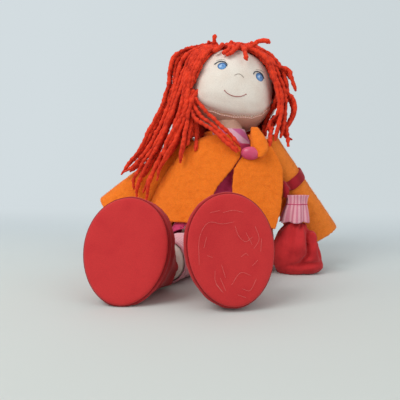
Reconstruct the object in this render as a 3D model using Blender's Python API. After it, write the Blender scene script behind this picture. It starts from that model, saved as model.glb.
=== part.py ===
"""Seated rag doll with yarn hair, a fleece coat, padded shoes and a drawstring shoulder bag.

Metres, +Z up. The doll faces -Y and its own left hand is on +X. The origin is the
middle of the flat seat under the body. Every stuffed or sewn piece is its own object.
"""

import math

import bmesh
import bpy
from mathutils import Matrix, Vector

# Clearances and fabrics
GAP = 0.0003
CUT_OVERRUN = 0.02
LAYER_EASE = 0.0007
JERSEY = 0.0012
POPLIN = 0.0015
FLEECE = 0.0026

# Stuffed body
TORSO_HEIGHT = 0.158
TORSO_HALF_WIDTH = 0.046
TORSO_HALF_DEPTH = 0.035
TORSO_SETBACK = 0.010
TORSO_LEAN = 0.0145
TORSO_RECLINE = 0.008
torso_level_shares = (0.0, 0.06, 0.20, 0.40, 0.55, 0.70, 0.82, 0.90, 0.96, 1.0)
torso_width_shares = (0.80, 0.95, 1.0, 0.93, 0.79, 0.64, 0.60, 0.57, 0.44, 0.345)
torso_depth_shares = (0.84, 0.98, 1.0, 0.92, 0.82, 0.74, 0.68, 0.60, 0.47, 0.42)

# Neck and head
NECK_RADIUS = 0.0160
NECK_HEIGHT = 0.012
NECK_SETBACK = 0.002
neck_waist_share = 0.06
HEAD_HALF_WIDTH = 0.049
HEAD_HALF_DEPTH = 0.042
HEAD_HALF_HEIGHT = 0.0475
HEAD_RISE = 0.0520
HEAD_SETBACK = 0.0124
HEAD_SHIFT = 0.0022
# The filling sinks, so below its middle the head grows squarer than an ellipse
JOWL_POWER = 0.7
jowl_start_share = 0.5
HEAD_ROLL = math.radians(13.3)
HEAD_TILT = math.radians(13.1)
HEAD_TURN = math.radians(16.5)
EAR_HALF_HEIGHT = 0.0125
EAR_HALF_DEPTH = 0.0085
EAR_HALF_WIDTH = 0.0075
ear_side_share = 1.0
ear_drop_share = 0.21
ear_back_share = 0.02

# Arms
SHOULDER_REACH = 0.0435
# Down from the torso's top to the shoulder joints
SHOULDER_DROP = 0.0195
SHOULDER_SETBACK = 0.0035
ARM_RADIUS = 0.0142
ARM_LENGTH = 0.129
SHOULDER_RINGS = 5
hand_station_share = 0.8
hand_flat_share = 0.82
arm_station_shares = (0.0, 0.18, 0.45, 0.68, 0.78, 0.86, 0.94, 0.98)
arm_radius_shares = (1.0, 1.0, 0.93, 0.82, 0.72, 0.80, 0.74, 0.45)
ARM_DROP_RIGHT = math.radians(40.5)
ARM_DROP_LEFT = math.radians(60.0)
ARM_LOWER_RIGHT = math.radians(8.0)
ARM_LOWER_LEFT = math.radians(3.0)
ARM_SWING_RIGHT = math.radians(-3.0)
ARM_SWING_LEFT = math.radians(8.0)

# Coat sleeves
SLEEVE_ROOT_RADIUS = 0.0190
SLEEVE_BORE = 0.0149
ARMPIT_EASE = 0.0005
SLEEVE_MOUTH_RADIUS = 0.0268
SLEEVE_DEPTH_RADIUS = 0.0205
SLEEVE_LENGTH = 0.121
sleeve_root_share = 0.50
sleeve_station_shares = (0.0, 0.14, 0.42, 0.72, 1.0)
sleeve_flare_shares = (0.0, 0.08, 0.38, 0.76, 1.0)

# Legs
HIP_RADIUS = 0.0232
HIP_SPREAD = 0.0230
HIP_SETBACK = 0.0300
HIP_HALF_WIDTH = 0.0216
HIP_LIFT = math.radians(35)
ANKLE_RADIUS = 0.0182
LEG_LENGTH = 0.104
leg_station_shares = (0.0, 0.25, 0.50, 0.72, 0.90, 1.0)
leg_radius_shares = (1.0, 0.95, 0.88, 0.86, 0.80, 0.76)
leg_power_share = 0.92
LEGGING_START = 0.030
LEGGING_END = 0.066
cuff_share = 0.5

# Shoes
SHOE_LENGTH = 0.0895
SHOE_WIDTH = 0.071
SHOE_DEPTH = 0.040
SOLE_THICKNESS = 0.0035
RAND_DEPTH = 0.0075
RAND_PROUD = 0.0012
HEEL_WALL = 0.0035
SHOE_WALL = 0.0040
toe_fuller_share = 0.10
rand_full_shares = (0.3, 0.7)
shoe_station_shares = (0.0, 0.30, 0.58, 0.82, 1.0)
shoe_swell_shares = (1.0, 1.03, 0.93, 0.78, 0.64)
shoe_shift_shares = (0.0, 0.04, 0.30, 0.68, 1.0)

# Where each foot stands: sideways, forwards and up from the seat, then turn, tilt and roll
RIGHT_SOLE = (-0.0582, -0.1640, 0.0440)
LEFT_SOLE = (0.0284, -0.1682, 0.0474)
RIGHT_SOLE_TURN = math.radians(5.3)
LEFT_SOLE_TURN = math.radians(18.0)
RIGHT_SOLE_TILT = math.radians(12.0)
LEFT_SOLE_TILT = math.radians(8.0)
RIGHT_SOLE_ROLL = math.radians(7.0)
LEFT_SOLE_ROLL = math.radians(-5.0)

# Shirt, dress and coat
# The shirt and the dress hang from the torso's top, so each top is a drop below it
SHIRT_DROP = 0.0006
SHIRT_HEIGHT = 0.0374
DRESS_DROP = 0.0150
WAIST_HEIGHT = 0.078
SKIRT_FLARE = 0.011
SKIRT_HEM = 0.004
SKIRT_LAP = 0.0215
SKIRT_BULGE = 0.0020
LAP_EASE = 0.0018
PLEAT_DEPTH = 0.0016
PLEATS = 8
skirt_wrap_share = 0.56
skirt_centre_share = 0.012
skirt_side_share = 0.40
LAP_START = math.radians(-58)
LAP_SWEEP = math.radians(158)
COAT_HALF_WIDTH = 0.068
COAT_HALF_DEPTH = 0.052
COAT_HEM = 0.004
COAT_FRONT_REACH = 0.055
COAT_FRONT_CURVE = 0.0150
FOLD_DEPTH = 0.0022
BACK_FOLDS = 9
FRONT_FOLDS = 11
back_fold_share = 0.625
COLLAR_HEIGHT = 0.0095
COLLAR_HALF_WIDTH = 0.0253
COLLAR_HALF_DEPTH = 0.0205
COLLAR_ROLL = 0.0015
COLLAR_EASE = 0.0003
collar_wrap_share = 0.78
back_level_shares = (0.0, 0.18, 0.38, 0.46, 0.55, 0.64, 0.74, 0.84, 0.92)
back_width_shares = (1.0, 0.94, 0.85, 0.80, 0.79, 0.77, 0.73, 0.67, 0.57)
back_depth_shares = (1.0, 0.985, 0.915, 0.86, 0.79, 0.735, 0.675, 0.61, 0.52)
back_wrap_shares = (0.65, 0.65, 0.64, 0.49, 0.38, 0.30, 0.27, 0.28, 0.32)
collar_seat_share = 0.92
front_level_shares = (0.355, 0.48, 0.60, 0.72, 0.80, 0.86, 0.92, 0.965)
front_reach_shares = (1.07, 0.99, 0.89, 0.80, 0.74, 0.68, 0.58, 0.45)
right_inner_shares = (-0.22, -0.15, -0.05, 0.15, 0.25, 0.25, 0.12, 0.05)
right_outer_shares = (-1.12, -1.07, -0.99, -0.88, -0.77, -0.66, -0.55, -0.36)
left_inner_shares = (0.26, 0.22, 0.18, 0.18, 0.29, 0.42, 0.40, 0.33)
left_outer_shares = (0.88, 0.96, 0.98, 0.95, 0.86, 0.76, 0.63, 0.50)

# Button and lapel
BUTTON_HALF_WIDTH = 0.0098
BUTTON_HALF_HEIGHT = 0.0079
BUTTON_RIM = 0.0016
BUTTON_DOME = 0.0032
BUTTON_SHANK_RADIUS = 0.0022
BUTTON_SHANK = 0.0024
BUTTON_EASE = 0.0010
# Shares of the rim's and the dome's depth, then of the half sizes
button_profile_shares = ((0.0, 0.0, 0.94), (0.5, 0.0, 1.0), (1.0, 0.0, 0.97), (1.0, 0.62, 0.72),
                         (1.0, 0.92, 0.36))
BUTTON_ACROSS = 0.0399
# Down from the torso's top to the button's middle
BUTTON_DROP = 0.0278
LAPEL_WIDTH = 0.0125
LAPEL_LIFT = 0.0050
lapel_top_share = 0.965
lapel_foot_share = 0.80
lapel_across_share = 0.40
lapel_foot_across_share = 0.74
lapel_end_share = 0.45

# Shoulder bag
BAG_HALF_WIDTH = 0.0262
BAG_HALF_DEPTH = 0.0190
BAG_HEIGHT = 0.0555
BAG_FOLD = 0.0012
GATHERS = 12
full_fold_share = 0.5
BAG_ACROSS = 0.0962
BAG_FORWARD = 0.0250
FRILL_HEIGHT = 0.0310
FRILL_HALF_WIDTH = 0.0160
FRILL_HALF_DEPTH = 0.0125
FRILL_SHIFT = 0.0060
FRILL_RUFFLE = 0.0011
DRAWSTRING_RADIUS = 0.0009
drawstring_level_share = 0.45
string_half_share = 0.025
string_sink_share = 0.02
STRAP_WIDTH = 0.0125
STRAP_THICKNESS = 0.0018
STRAP_EASE = 0.0050
strap_station_share = 0.34
strap_wrap_share = 1.16
bag_level_shares = (0.0, 0.10, 0.34, 0.60, 0.80, 0.92, 1.0)
bag_swell_shares = (0.70, 0.92, 1.0, 0.95, 0.76, 0.52, 0.36)
frill_level_shares = (0.0, 0.18, 0.38, 0.62, 0.82, 1.0)
frill_swell_shares = (1.0, 0.95, 0.84, 0.73, 0.68, 0.66)

# Hair
YARN = 0.0052
CAP_EASE = 0.00115
CAP_THICKNESS = 0.0050
CAP_CLEARANCE = 0.0009
CAP_REACH = math.radians(88)
CAP_AXIS_TILT = math.radians(34)
LOCK_RIDGE = 0.0016
LOCK_COUNT = 9
# Stations of each bundle, from the head's centre, as shares of the head's half width:
# across, back, up, then half width and half thickness
right_bundle_shares = (
    (-0.52, -0.34, 0.86, 0.20, 0.16), (-0.92, -0.40, 0.40, 0.30, 0.24),
    (-1.09, -0.56, -0.14, 0.31, 0.25), (-1.26, -0.74, -0.66, 0.31, 0.24),
    (-1.54, -0.98, -1.14, 0.32, 0.17), (-1.88, -1.10, -1.62, 0.35, 0.15),
    (-2.04, -1.12, -2.02, 0.34, 0.14), (-1.98, -1.13, -2.34, 0.24, 0.12),
    (-1.92, -1.14, -2.62, 0.16, 0.09))
chest_bundle_shares = (
    (-0.90, -0.92, -0.82, 0.14, 0.11), (-0.98, -1.08, -1.16, 0.17, 0.11),
    (-1.12, -1.20, -1.48, 0.18, 0.10), (-1.26, -1.27, -1.76, 0.14, 0.09),
    (-1.36, -1.30, -1.92, 0.08, 0.07))
cross_bundle_shares = (
    (-0.75, -0.95, -0.71, 0.11, 0.09), (-0.32, -1.12, -1.04, 0.12, 0.10),
    (0.04, -1.23, -1.38, 0.12, 0.09), (0.22, -1.28, -1.60, 0.08, 0.07))
left_bundle_shares = (
    (0.56, 0.00, 0.86, 0.20, 0.18), (1.14, -0.22, 0.10, 0.20, 0.20),
    (1.21, -0.36, -0.49, 0.23, 0.20), (1.15, -0.60, -1.04, 0.22, 0.15),
    (1.24, -0.76, -1.34, 0.13, 0.10), (1.31, -0.82, -1.48, 0.08, 0.07))
back_bundle_shares = (
    (0.02, 1.02, 0.40, 0.30, 0.10), (0.02, 1.13, 0.06, 0.56, 0.16),
    (0.0, 1.14, -0.42, 0.76, 0.18), (-0.04, 1.02, -0.88, 0.86, 0.18),
    (-0.10, 0.92, -1.44, 0.88, 0.16), (-0.14, 0.88, -2.04, 0.78, 0.14),
    (-0.16, 0.86, -2.46, 0.52, 0.09))
# Loose single locks, each from its root on the cap to its tip, in the same shares
loose_lock_shares = {
    "hair_tuft_crown": ((-0.34, -0.22, 0.94), (-0.42, -0.34, 1.04), (-0.54, -0.38, 1.09),
                        (-0.44, -0.38, 1.20)),
    "hair_tuft_fringe": ((0.20, -0.02, 1.12), (0.24, -0.34, 1.09), (0.29, -0.68, 0.92),
                         (0.34, -0.88, 0.64), (0.37, -0.94, 0.44)),
    "hair_curl_top": ((0.26, -0.12, 0.98), (0.42, -0.22, 0.98), (0.62, -0.24, 1.03),
                      (0.82, -0.24, 1.02), (0.94, -0.24, 0.95)),
    "hair_curl_side": ((0.92, 0.16, 0.58), (1.20, 0.14, 0.50), (1.42, 0.04, 0.36),
                       (1.52, -0.04, 0.13), (1.52, -0.06, -0.12)),
}
lock_tip_share = 0.6

# Mesh counts
BODY_SIDES = 24
LIMB_SIDES = 18
CLOTH_COLUMNS = 12
RIDGE_SIDES = 36
LOCK_SIDES = 6

FINISHES = {
    "skin": ((0.73, 0.65, 0.56), 0.85),
    "hair": ((0.56, 0.05, 0.02), 0.95),
    "fleece": ((0.80, 0.20, 0.02), 0.95),
    "raspberry": ((0.45, 0.08, 0.10), 0.85),
    "stripe": ((0.66, 0.24, 0.28), 0.85),
    "shoe": ((0.52, 0.04, 0.035), 0.65),
    "bag": ((0.36, 0.03, 0.04), 0.80),
    "button": ((0.62, 0.10, 0.20), 0.45),
}


def clear_scene():
    """Remove what the scene holds."""
    for item in list(bpy.data.objects):
        bpy.data.objects.remove(item, do_unlink=True)


def finish_material(node, finish):
    """Give one piece its own Principled material."""
    colour, roughness = FINISHES[finish]
    material = bpy.data.materials.new(f"{node}_{finish}")
    material.use_nodes = True
    shader = material.node_tree.nodes["Principled BSDF"]
    shader.inputs["Base Color"].default_value = (*colour, 1.0)
    shader.inputs["Roughness"].default_value = roughness
    shader.inputs["Metallic"].default_value = 0.0
    return material


def mesh_object(name, points, faces, finish=None, origin=None):
    """Make a closed, smooth mesh object, with its origin at a joint where one is given."""
    shift = Vector(origin) if origin is not None else Vector((0, 0, 0))
    mesh = bpy.data.meshes.new(name)
    mesh.from_pydata([tuple(Vector(p) - shift) for p in points], [], faces)
    edit = bmesh.new()
    edit.from_mesh(mesh)
    bmesh.ops.recalc_face_normals(edit, faces=edit.faces)
    edit.to_mesh(mesh)
    edit.free()
    mesh.shade_smooth()
    mesh.set_sharp_from_angle(angle=math.radians(50))
    piece = bpy.data.objects.new(name, mesh)
    bpy.context.collection.objects.link(piece)
    piece.location = shift
    if finish is None:
        piece.hide_render = True
        piece.display_type = "WIRE"
    else:
        mesh.materials.append(finish_material(name, finish))
    return piece


def cut(piece, cutter, operation="DIFFERENCE"):
    """Cut one piece by another with an exact Boolean."""
    modifier = piece.modifiers.new(f"cut_{cutter.name}", "BOOLEAN")
    modifier.operation = operation
    modifier.solver = "EXACT"
    modifier.object = cutter
    return piece


def ring(centre, across, up, half_across, half_up, count, ridges=0, ridge_depth=0.0, power=1.0):
    """Points of one cross-section, with soft ridges where yarn or gathers show."""
    points = []
    for index in range(count):
        angle = math.tau * index / count
        wave = 1.0
        if ridges:
            wave = abs(math.cos(ridges * angle / 2))
        grow = ridge_depth * (wave - 1.0) if ridges else 0.0
        c = math.cos(angle)
        s = math.sin(angle)
        a = math.copysign(abs(c) ** power, c) * (half_across + grow)
        b = math.copysign(abs(s) ** power, s) * (half_up + grow)
        points.append(Vector(centre) + Vector(across) * a + Vector(up) * b)
    return points


def loft(name, rings, finish=None, origin=None, poles=(None, None)):
    """Skin equal rings into one closed body, capped flat or drawn to a pole."""
    count = len(rings[0])
    points = [point for each in rings for point in each]
    faces = []
    for level in range(len(rings) - 1):
        low = level * count
        for i in range(count):
            j = (i + 1) % count
            faces.append((low + i, low + j, low + count + j, low + count + i))
    for pole, base in ((poles[0], 0), (poles[1], (len(rings) - 1) * count)):
        if pole is None:
            faces.append(tuple(range(base, base + count)))
            continue
        points.append(Vector(pole))
        for i in range(count):
            faces.append((base + i, base + (i + 1) % count, len(points) - 1))
    return mesh_object(name, points, faces, finish, origin)


def shell(name, outer, inner, finish, origin=None, closed=True):
    """Close two matching grids into one sheet, joined round its free edges."""
    rows = len(outer)
    columns = len(outer[0])
    points = [point for row in outer for point in row]
    offset = len(points)
    points += [point for row in inner for point in row]
    faces = []
    spans = columns if closed else columns - 1
    for r in range(rows - 1):
        for c in range(spans):
            d = (c + 1) % columns
            quad = (r * columns + c, r * columns + d, (r + 1) * columns + d, (r + 1) * columns + c)
            faces.append(quad)
            faces.append(tuple(offset + q for q in reversed(quad)))
    for row in (0, rows - 1):
        for c in range(spans):
            d = (c + 1) % columns
            a = row * columns + c
            b = row * columns + d
            faces.append((a, b, offset + b, offset + a))
    if not closed:
        for column in (0, columns - 1):
            for r in range(rows - 1):
                a = r * columns + column
                b = (r + 1) * columns + column
                faces.append((a, b, offset + b, offset + a))
    return mesh_object(name, points, faces, finish, origin)


def sweep(name, route, radius, finish, origin):
    """A single lock as a round section swept along a smooth route, thinner at its tip."""
    rings = []
    for index, place in enumerate(route):
        along = (route[min(index + 1, len(route) - 1)] - route[max(index - 1, 0)]).normalized()
        across = along.cross(Vector((0, 1, 0))).normalized()
        share = index / (len(route) - 1)
        size = radius * (1 - (1 - lock_tip_share) * share ** 3)
        rings.append(ring(place, across, across.cross(along), size, size, LOCK_SIDES))
    return loft(name, rings, finish, origin)


def smooth_route(places, steps):
    """Points of a Catmull-Rom curve through the places."""
    knots = [Vector(p) for p in places]
    knots = [2 * knots[0] - knots[1]] + knots + [2 * knots[-1] - knots[-2]]
    route = []
    for k in range(1, len(knots) - 2):
        a, b, c, d = knots[k - 1:k + 3]
        for step in range(steps):
            t = step / steps
            route.append(0.5 * ((2 * b) + (c - a) * t + (2 * a - 5 * b + 4 * c - d) * t * t
                                + (3 * b - a - 3 * c + d) * t ** 3))
    route.append(knots[-2])
    return route


def interpolate(levels, values, level):
    """Read a table of shares at a level between its rows."""
    if level <= levels[0]:
        return values[0]
    for low, high, a, b in zip(levels, levels[1:], values, values[1:]):
        if level <= high:
            return a + (b - a) * (level - low) / (high - low)
    return values[-1]


def body_centre(height):
    """The middle of the body at a height: it leans to its left and a little back."""
    share = height / TORSO_HEIGHT
    return Vector((TORSO_LEAN * share, TORSO_RECLINE * share - TORSO_SETBACK, height))


def body_size(height):
    """Half width and half depth of the stuffed body at a height."""
    share = height / TORSO_HEIGHT
    return (TORSO_HALF_WIDTH * interpolate(torso_level_shares, torso_width_shares, share),
            TORSO_HALF_DEPTH * interpolate(torso_level_shares, torso_depth_shares, share))


def body_ring(height, grow, count=BODY_SIDES):
    """A level ring round the body, grown outwards by a layer's distance."""
    width, depth = body_size(height)
    return ring(body_centre(height), (1, 0, 0), (0, 1, 0), width + grow, depth + grow, count)


def body_arc(height, grow_width, grow_depth, start, end, columns, waves=0, wave_depth=0.0):
    """Points of a level arc round the body; angles start at the back and grow towards +X."""
    width, depth = body_size(height)
    centre = body_centre(height)
    points = []
    for index in range(columns):
        angle = start + (end - start) * index / (columns - 1)
        fold = wave_depth * math.cos(waves * angle) if waves else 0.0
        points.append(centre + Vector(((width + grow_width + fold) * math.sin(angle),
                                       (depth + grow_depth + fold) * math.cos(angle), 0)))
    return points


# Body

def thigh_sweep(name, grow):
    """The space that both thighs sweep between hanging down and fully raised."""
    radius = HIP_RADIUS + grow
    reach = TORSO_HEIGHT
    profile = [(-HIP_SETBACK + radius, -CUT_OVERRUN)]
    for step in range(9):
        angle = (math.pi / 2 - HIP_LIFT) * step / 8
        profile.append((-HIP_SETBACK + radius * math.cos(angle),
                        HIP_RADIUS + GAP + radius * math.sin(angle)))
    y, z = profile[-1]
    profile.append((y - reach * math.cos(HIP_LIFT), z + reach * math.sin(HIP_LIFT)))
    profile.append((y - reach * math.cos(HIP_LIFT), -CUT_OVERRUN))
    side = TORSO_HALF_WIDTH + CUT_OVERRUN
    rings = [[Vector((x, py, pz)) for py, pz in profile] for x in (-side, side)]
    return loft(name, rings)


def shoulder_place(side):
    """Middle of the shoulder joint; side is -1 for the doll's right and 1 for its left."""
    height = TORSO_HEIGHT - SHOULDER_DROP
    return Vector((body_centre(height).x + side * SHOULDER_REACH, -SHOULDER_SETBACK, height))


def fuller(unit):
    """How far the soft head bulges past an ellipsoid in a direction, most towards its base."""
    power = 2 + JOWL_POWER * min(1.0, max(0.0, -unit.z / jowl_start_share))
    return sum(abs(part) ** power for part in unit) ** (-1 / power)


def even(unit):
    """An ellipsoid's own radius, the same share in every direction."""
    return unit.length


def ball(name, centre, half_sizes, finish=None, turn=None, origin=None, sides=BODY_SIDES, bulge=even):
    """An ellipsoid of level rings with a pole at each end, swollen by a function of direction."""
    turn = turn if turn is not None else Matrix.Identity(3)
    levels = sides // 2

    def place(unit):
        """The surface's point in a direction."""
        return centre + turn @ Vector(part * half * bulge(unit) for part, half in zip(unit, half_sizes))

    rings = []
    for level in range(1, levels):
        polar = math.pi * level / levels
        units = ring((0, 0, -math.cos(polar)), (1, 0, 0), (0, 1, 0), math.sin(polar),
                     math.sin(polar), sides)
        rings.append([place(unit) for unit in units])
    poles = (place(Vector((0, 0, -1))), place(Vector((0, 0, 1))))
    return loft(name, rings, finish, origin, poles)


def armhole_cutters():
    """One ball at each shoulder that clears the turning sleeve and arm."""
    radius = SLEEVE_ROOT_RADIUS + GAP
    cutters = []
    for label, side in (("right", -1), ("left", 1)):
        cutters.append(ball(f"armhole_{label}", shoulder_place(side), (radius,) * 3))
        cutters.append(armpit_cutter(label, side))
    return cutters


def armpit_cutter(label, side):
    """The space under the shoulder that the lowered sleeve presses into the body."""
    lower = ARM_LOWER_RIGHT if side < 0 else ARM_LOWER_LEFT
    turn = Matrix.Rotation(side * lower, 3, "Y")
    joint, along, upright, back = arm_frame(side)
    along, upright, back = turn @ along, turn @ upright, turn @ back
    rings = []
    for station, flare in zip(sleeve_station_shares, sleeve_flare_shares):
        tall, deep = sleeve_size(flare)
        rings.append(ring(joint + along * SLEEVE_LENGTH * station, upright, back,
                          tall + ARMPIT_EASE, deep + ARMPIT_EASE, BODY_SIDES))
    return loft(f"armpit_{label}", rings)


def build_torso(armholes):
    """The stuffed body, flat where it sits and hollowed where the thighs turn."""
    rings = [body_ring(share * TORSO_HEIGHT, 0.0) for share in torso_level_shares]
    torso = loft("torso", rings, "skin")
    cut(torso, thigh_sweep("thigh_clearance", GAP))
    for cutter in armholes:
        cut(torso, cutter)
    return torso


def build_shirt(armholes):
    """The striped shirt, seen at the neck."""
    top = TORSO_HEIGHT - SHIRT_DROP
    levels = [top - SHIRT_HEIGHT * (5 - step) / 5 for step in range(6)]
    outer = [body_ring(level, LAYER_EASE + JERSEY) for level in levels]
    inner = [body_ring(level, LAYER_EASE) for level in levels]
    shirt = shell("shirt", outer, inner, "stripe")
    for cutter in armholes:
        cut(shirt, cutter)
    return shirt


def dress_offset():
    """How far the dress's inner face stands off the body."""
    return JERSEY + 2 * LAYER_EASE


def build_dress(armholes):
    """The bodice, the skirt behind and the two overlapping halves of the skirt in front."""
    inner_grow = dress_offset()
    outer_grow = inner_grow + POPLIN
    height = TORSO_HEIGHT - DRESS_DROP - WAIST_HEIGHT
    levels = [WAIST_HEIGHT + height * step / 6 for step in range(7)]
    outer = [body_ring(level, outer_grow) for level in levels]
    inner = [body_ring(level, inner_grow) for level in levels]
    bodice = shell("dress_bodice", outer, inner, "raspberry")
    for cutter in armholes:
        cut(bodice, cutter)
    build_skirt_back(inner_grow, outer_grow)
    for label, side in (("right", -1), ("left", 1)):
        build_skirt_front(label, side, inner_grow, outer_grow)


def build_skirt_back(inner_grow, outer_grow):
    """The skirt from side to side round the back, flaring to its hem."""
    top = WAIST_HEIGHT - GAP
    wrap = math.pi * skirt_wrap_share
    outer = []
    inner = []
    for step in range(7):
        share = step / 6
        height = top + (SKIRT_HEM - top) * share
        flare = SKIRT_FLARE * share
        fold = PLEAT_DEPTH * share
        for grid, grow in ((outer, outer_grow), (inner, inner_grow)):
            grid.append(body_arc(height, grow + flare + fold, grow + flare / 2 + fold,
                                 -wrap, wrap, 2 * CLOTH_COLUMNS + 1, PLEATS, fold))
    shell("skirt_back", outer, inner, "raspberry", closed=False)


def hip_place(side):
    """Middle of a hip joint, on the axis that both thighs turn about."""
    return Vector((side * HIP_SPREAD, -HIP_SETBACK, HIP_RADIUS + GAP))


def build_skirt_front(label, side, inner_grow, outer_grow):
    """Half of the front skirt: it leaves the waist and settles on the thigh."""
    rows = 6
    hip = hip_place(side)
    grids = []
    for grow in (outer_grow, inner_grow):
        grid = []
        for step in range(rows):
            share = step / (rows - 1)
            row = []
            for column in range(CLOTH_COLUMNS):
                place = column / (CLOTH_COLUMNS - 1)
                row.append(skirt_front_point(side, hip, share, place, grow, inner_grow))
            grid.append(row)
        grids.append(grid)
    shell(f"skirt_front_{label}", grids[0], grids[1], "raspberry", closed=False)


def skirt_front_point(side, hip, share, place, grow, inner_grow):
    """A point of the front skirt between the waist arc and the curve over one thigh."""
    top = WAIST_HEIGHT - GAP
    width, depth = body_size(top)
    centre = body_centre(top)
    angle = side * math.pi * (skirt_centre_share + (skirt_side_share - skirt_centre_share) * place)
    waist = centre + Vector(((width + grow) * math.sin(angle), -(depth + grow) * math.cos(angle), 0))
    around = LAP_START + LAP_SWEEP * place
    radius = HIP_RADIUS + LAP_EASE + (grow - inner_grow)
    lap = Vector((hip.x + leg_frame(side)[1] * SKIRT_LAP + side * radius * math.sin(around),
                  hip.y - SKIRT_LAP, hip.z + radius * math.cos(around)))
    bulge = math.sin(math.pi * share) * SKIRT_BULGE
    point = waist.lerp(lap, share)
    return point + Vector((0, -bulge, bulge))


# Coat

def build_coat_back(armholes):
    """The coat's back, which wraps to the side seams and leaves the armholes open."""
    outer = []
    inner = []
    for level, width, depth, wrap in zip(back_level_shares, back_width_shares,
                                         back_depth_shares, back_wrap_shares):
        height = COAT_HEM + level * (TORSO_HEIGHT - COAT_HEM)
        centre = body_centre(height)
        fold = FOLD_DEPTH * max(0.0, 1 - level / back_fold_share)
        for grid, grow in ((outer, 0.0), (inner, -FLEECE)):
            row = []
            for column in range(2 * CLOTH_COLUMNS + 1):
                angle = math.pi * wrap * (column / CLOTH_COLUMNS - 1)
                wave = fold * math.cos(BACK_FOLDS * angle)
                row.append(centre + Vector((
                    (COAT_HALF_WIDTH * width + grow + wave) * math.sin(angle),
                    (COAT_HALF_DEPTH * depth + grow + wave) * math.cos(angle), 0)))
            grid.append(row)
    back = shell("coat_back", outer, inner, "fleece", closed=False)
    for cutter in armholes:
        cut(back, cutter)


def coat_front_place(level, across, depth):
    """A point on the coat's front: level and sideways shares, then depth behind its face."""
    height = level * TORSO_HEIGHT
    centre = body_centre(height)
    reach = COAT_FRONT_REACH * interpolate(front_level_shares, front_reach_shares, level)
    sag = COAT_FRONT_CURVE * across * across
    fold_share = max(0.0, 1 - level) ** 2
    fold = FOLD_DEPTH * fold_share * math.sin(FRONT_FOLDS * across + 1)
    face = -reach + sag + fold
    seated = max(0.0, (level - collar_seat_share) / (front_level_shares[-1] - collar_seat_share))
    face += (collar_face(COAT_HALF_WIDTH * across, centre) - face) * seated
    return Vector((centre.x + COAT_HALF_WIDTH * across, face + depth, height))


def collar_face(offset, centre):
    """Where a front's outer face lies when its top edge is sewn to the collar."""
    half_width = COLLAR_HALF_WIDTH + COLLAR_ROLL + FLEECE
    half_depth = COLLAR_HALF_DEPTH + COLLAR_ROLL + FLEECE
    share = math.sqrt(max(0.0, 1 - (offset / half_width) ** 2))
    return centre.y - half_depth * share - COLLAR_EASE - FLEECE


def build_coat_front(label, inner_edge, outer_edge):
    """One front panel, from its free edge at the centre to the side seam."""
    outer = []
    inner = []
    for level, first, last in zip(front_level_shares, inner_edge, outer_edge):
        for grid, depth in ((outer, 0.0), (inner, FLEECE)):
            grid.append([coat_front_place(level, first + (last - first) * c / (CLOTH_COLUMNS - 1), depth)
                         for c in range(CLOTH_COLUMNS)])
    shell(f"coat_front_{label}", outer, inner, "fleece", closed=False)


def build_collar(armholes):
    """The coat's standing collar, round the back and sides of the neck."""
    base = TORSO_HEIGHT - SHIRT_DROP - COLLAR_HEIGHT
    outer = []
    inner = []
    for step in range(4):
        share = step / 3
        height = base + COLLAR_HEIGHT * share
        for grid, grow in ((outer, COLLAR_ROLL * share + FLEECE), (inner, COLLAR_ROLL * share)):
            row = []
            for column in range(2 * CLOTH_COLUMNS + 1):
                angle = math.pi * collar_wrap_share * (column / CLOTH_COLUMNS - 1)
                row.append(body_centre(height)
                           + Vector(((COLLAR_HALF_WIDTH + grow) * math.sin(angle),
                                     (COLLAR_HALF_DEPTH + grow) * math.cos(angle), 0)))
            grid.append(row)
    collar = shell("coat_collar", outer, inner, "fleece", closed=False)
    for cutter in armholes:
        cut(collar, cutter)


def build_lapel():
    """The rolled lapel that falls beside the button, on the doll's left."""
    steps = 9
    places = []
    for step in range(steps):
        share = step / (steps - 1)
        level = lapel_top_share + (lapel_foot_share - lapel_top_share) * share
        across = lapel_across_share + (lapel_foot_across_share - lapel_across_share) * share
        places.append(coat_front_place(level, across, 0))
    rings = []
    for step, place in enumerate(places):
        along = (places[min(step + 1, steps - 1)] - places[max(step - 1, 0)]).normalized()
        out = along.cross(Vector((1, 0, 0))).normalized()
        swell = math.sin(math.pi * step / (steps - 1))
        width = LAPEL_WIDTH / 2 * (lapel_end_share + (1 - lapel_end_share) * swell)
        rings.append(ring(place + out * LAPEL_LIFT, out.cross(along), out, width, FLEECE,
                          LIMB_SIDES))
    return loft("coat_lapel", rings, "fleece")


def build_button():
    """A domed oval button standing on its thread shank in front of the coat."""
    height = TORSO_HEIGHT - BUTTON_DROP
    level = height / TORSO_HEIGHT
    across = (BUTTON_ACROSS - body_centre(height).x) / COAT_HALF_WIDTH
    seat = coat_front_place(level, across, -BUTTON_EASE)
    steps = [(0.0, BUTTON_SHANK_RADIUS, BUTTON_SHANK_RADIUS),
             (BUTTON_SHANK, BUTTON_SHANK_RADIUS, BUTTON_SHANK_RADIUS)]
    for rim, dome, size in button_profile_shares:
        steps.append((BUTTON_SHANK + BUTTON_RIM * rim + BUTTON_DOME * dome,
                      BUTTON_HALF_WIDTH * size, BUTTON_HALF_HEIGHT * size))
    rings = [ring(seat + Vector((0, -depth, 0)), (1, 0, 0), (0, 0, 1), a, b, BODY_SIDES)
             for depth, a, b in steps]
    tip = seat + Vector((0, -(BUTTON_SHANK + BUTTON_RIM + BUTTON_DOME), 0))
    return loft("button", rings, "button", poles=(None, tip))


# Arms

def arm_frame(side):
    """Joint, direction along the arm, and the two directions across it."""
    drop = ARM_DROP_RIGHT if side < 0 else ARM_DROP_LEFT
    swing = ARM_SWING_RIGHT if side < 0 else ARM_SWING_LEFT
    along = Vector((side * math.cos(drop) * math.cos(swing), math.sin(swing),
                    -math.sin(drop) * math.cos(swing)))
    upright = along.cross(Vector((0, 1, 0))).normalized() * side
    back = upright.cross(along).normalized()
    return shoulder_place(side), along, upright, back


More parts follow.
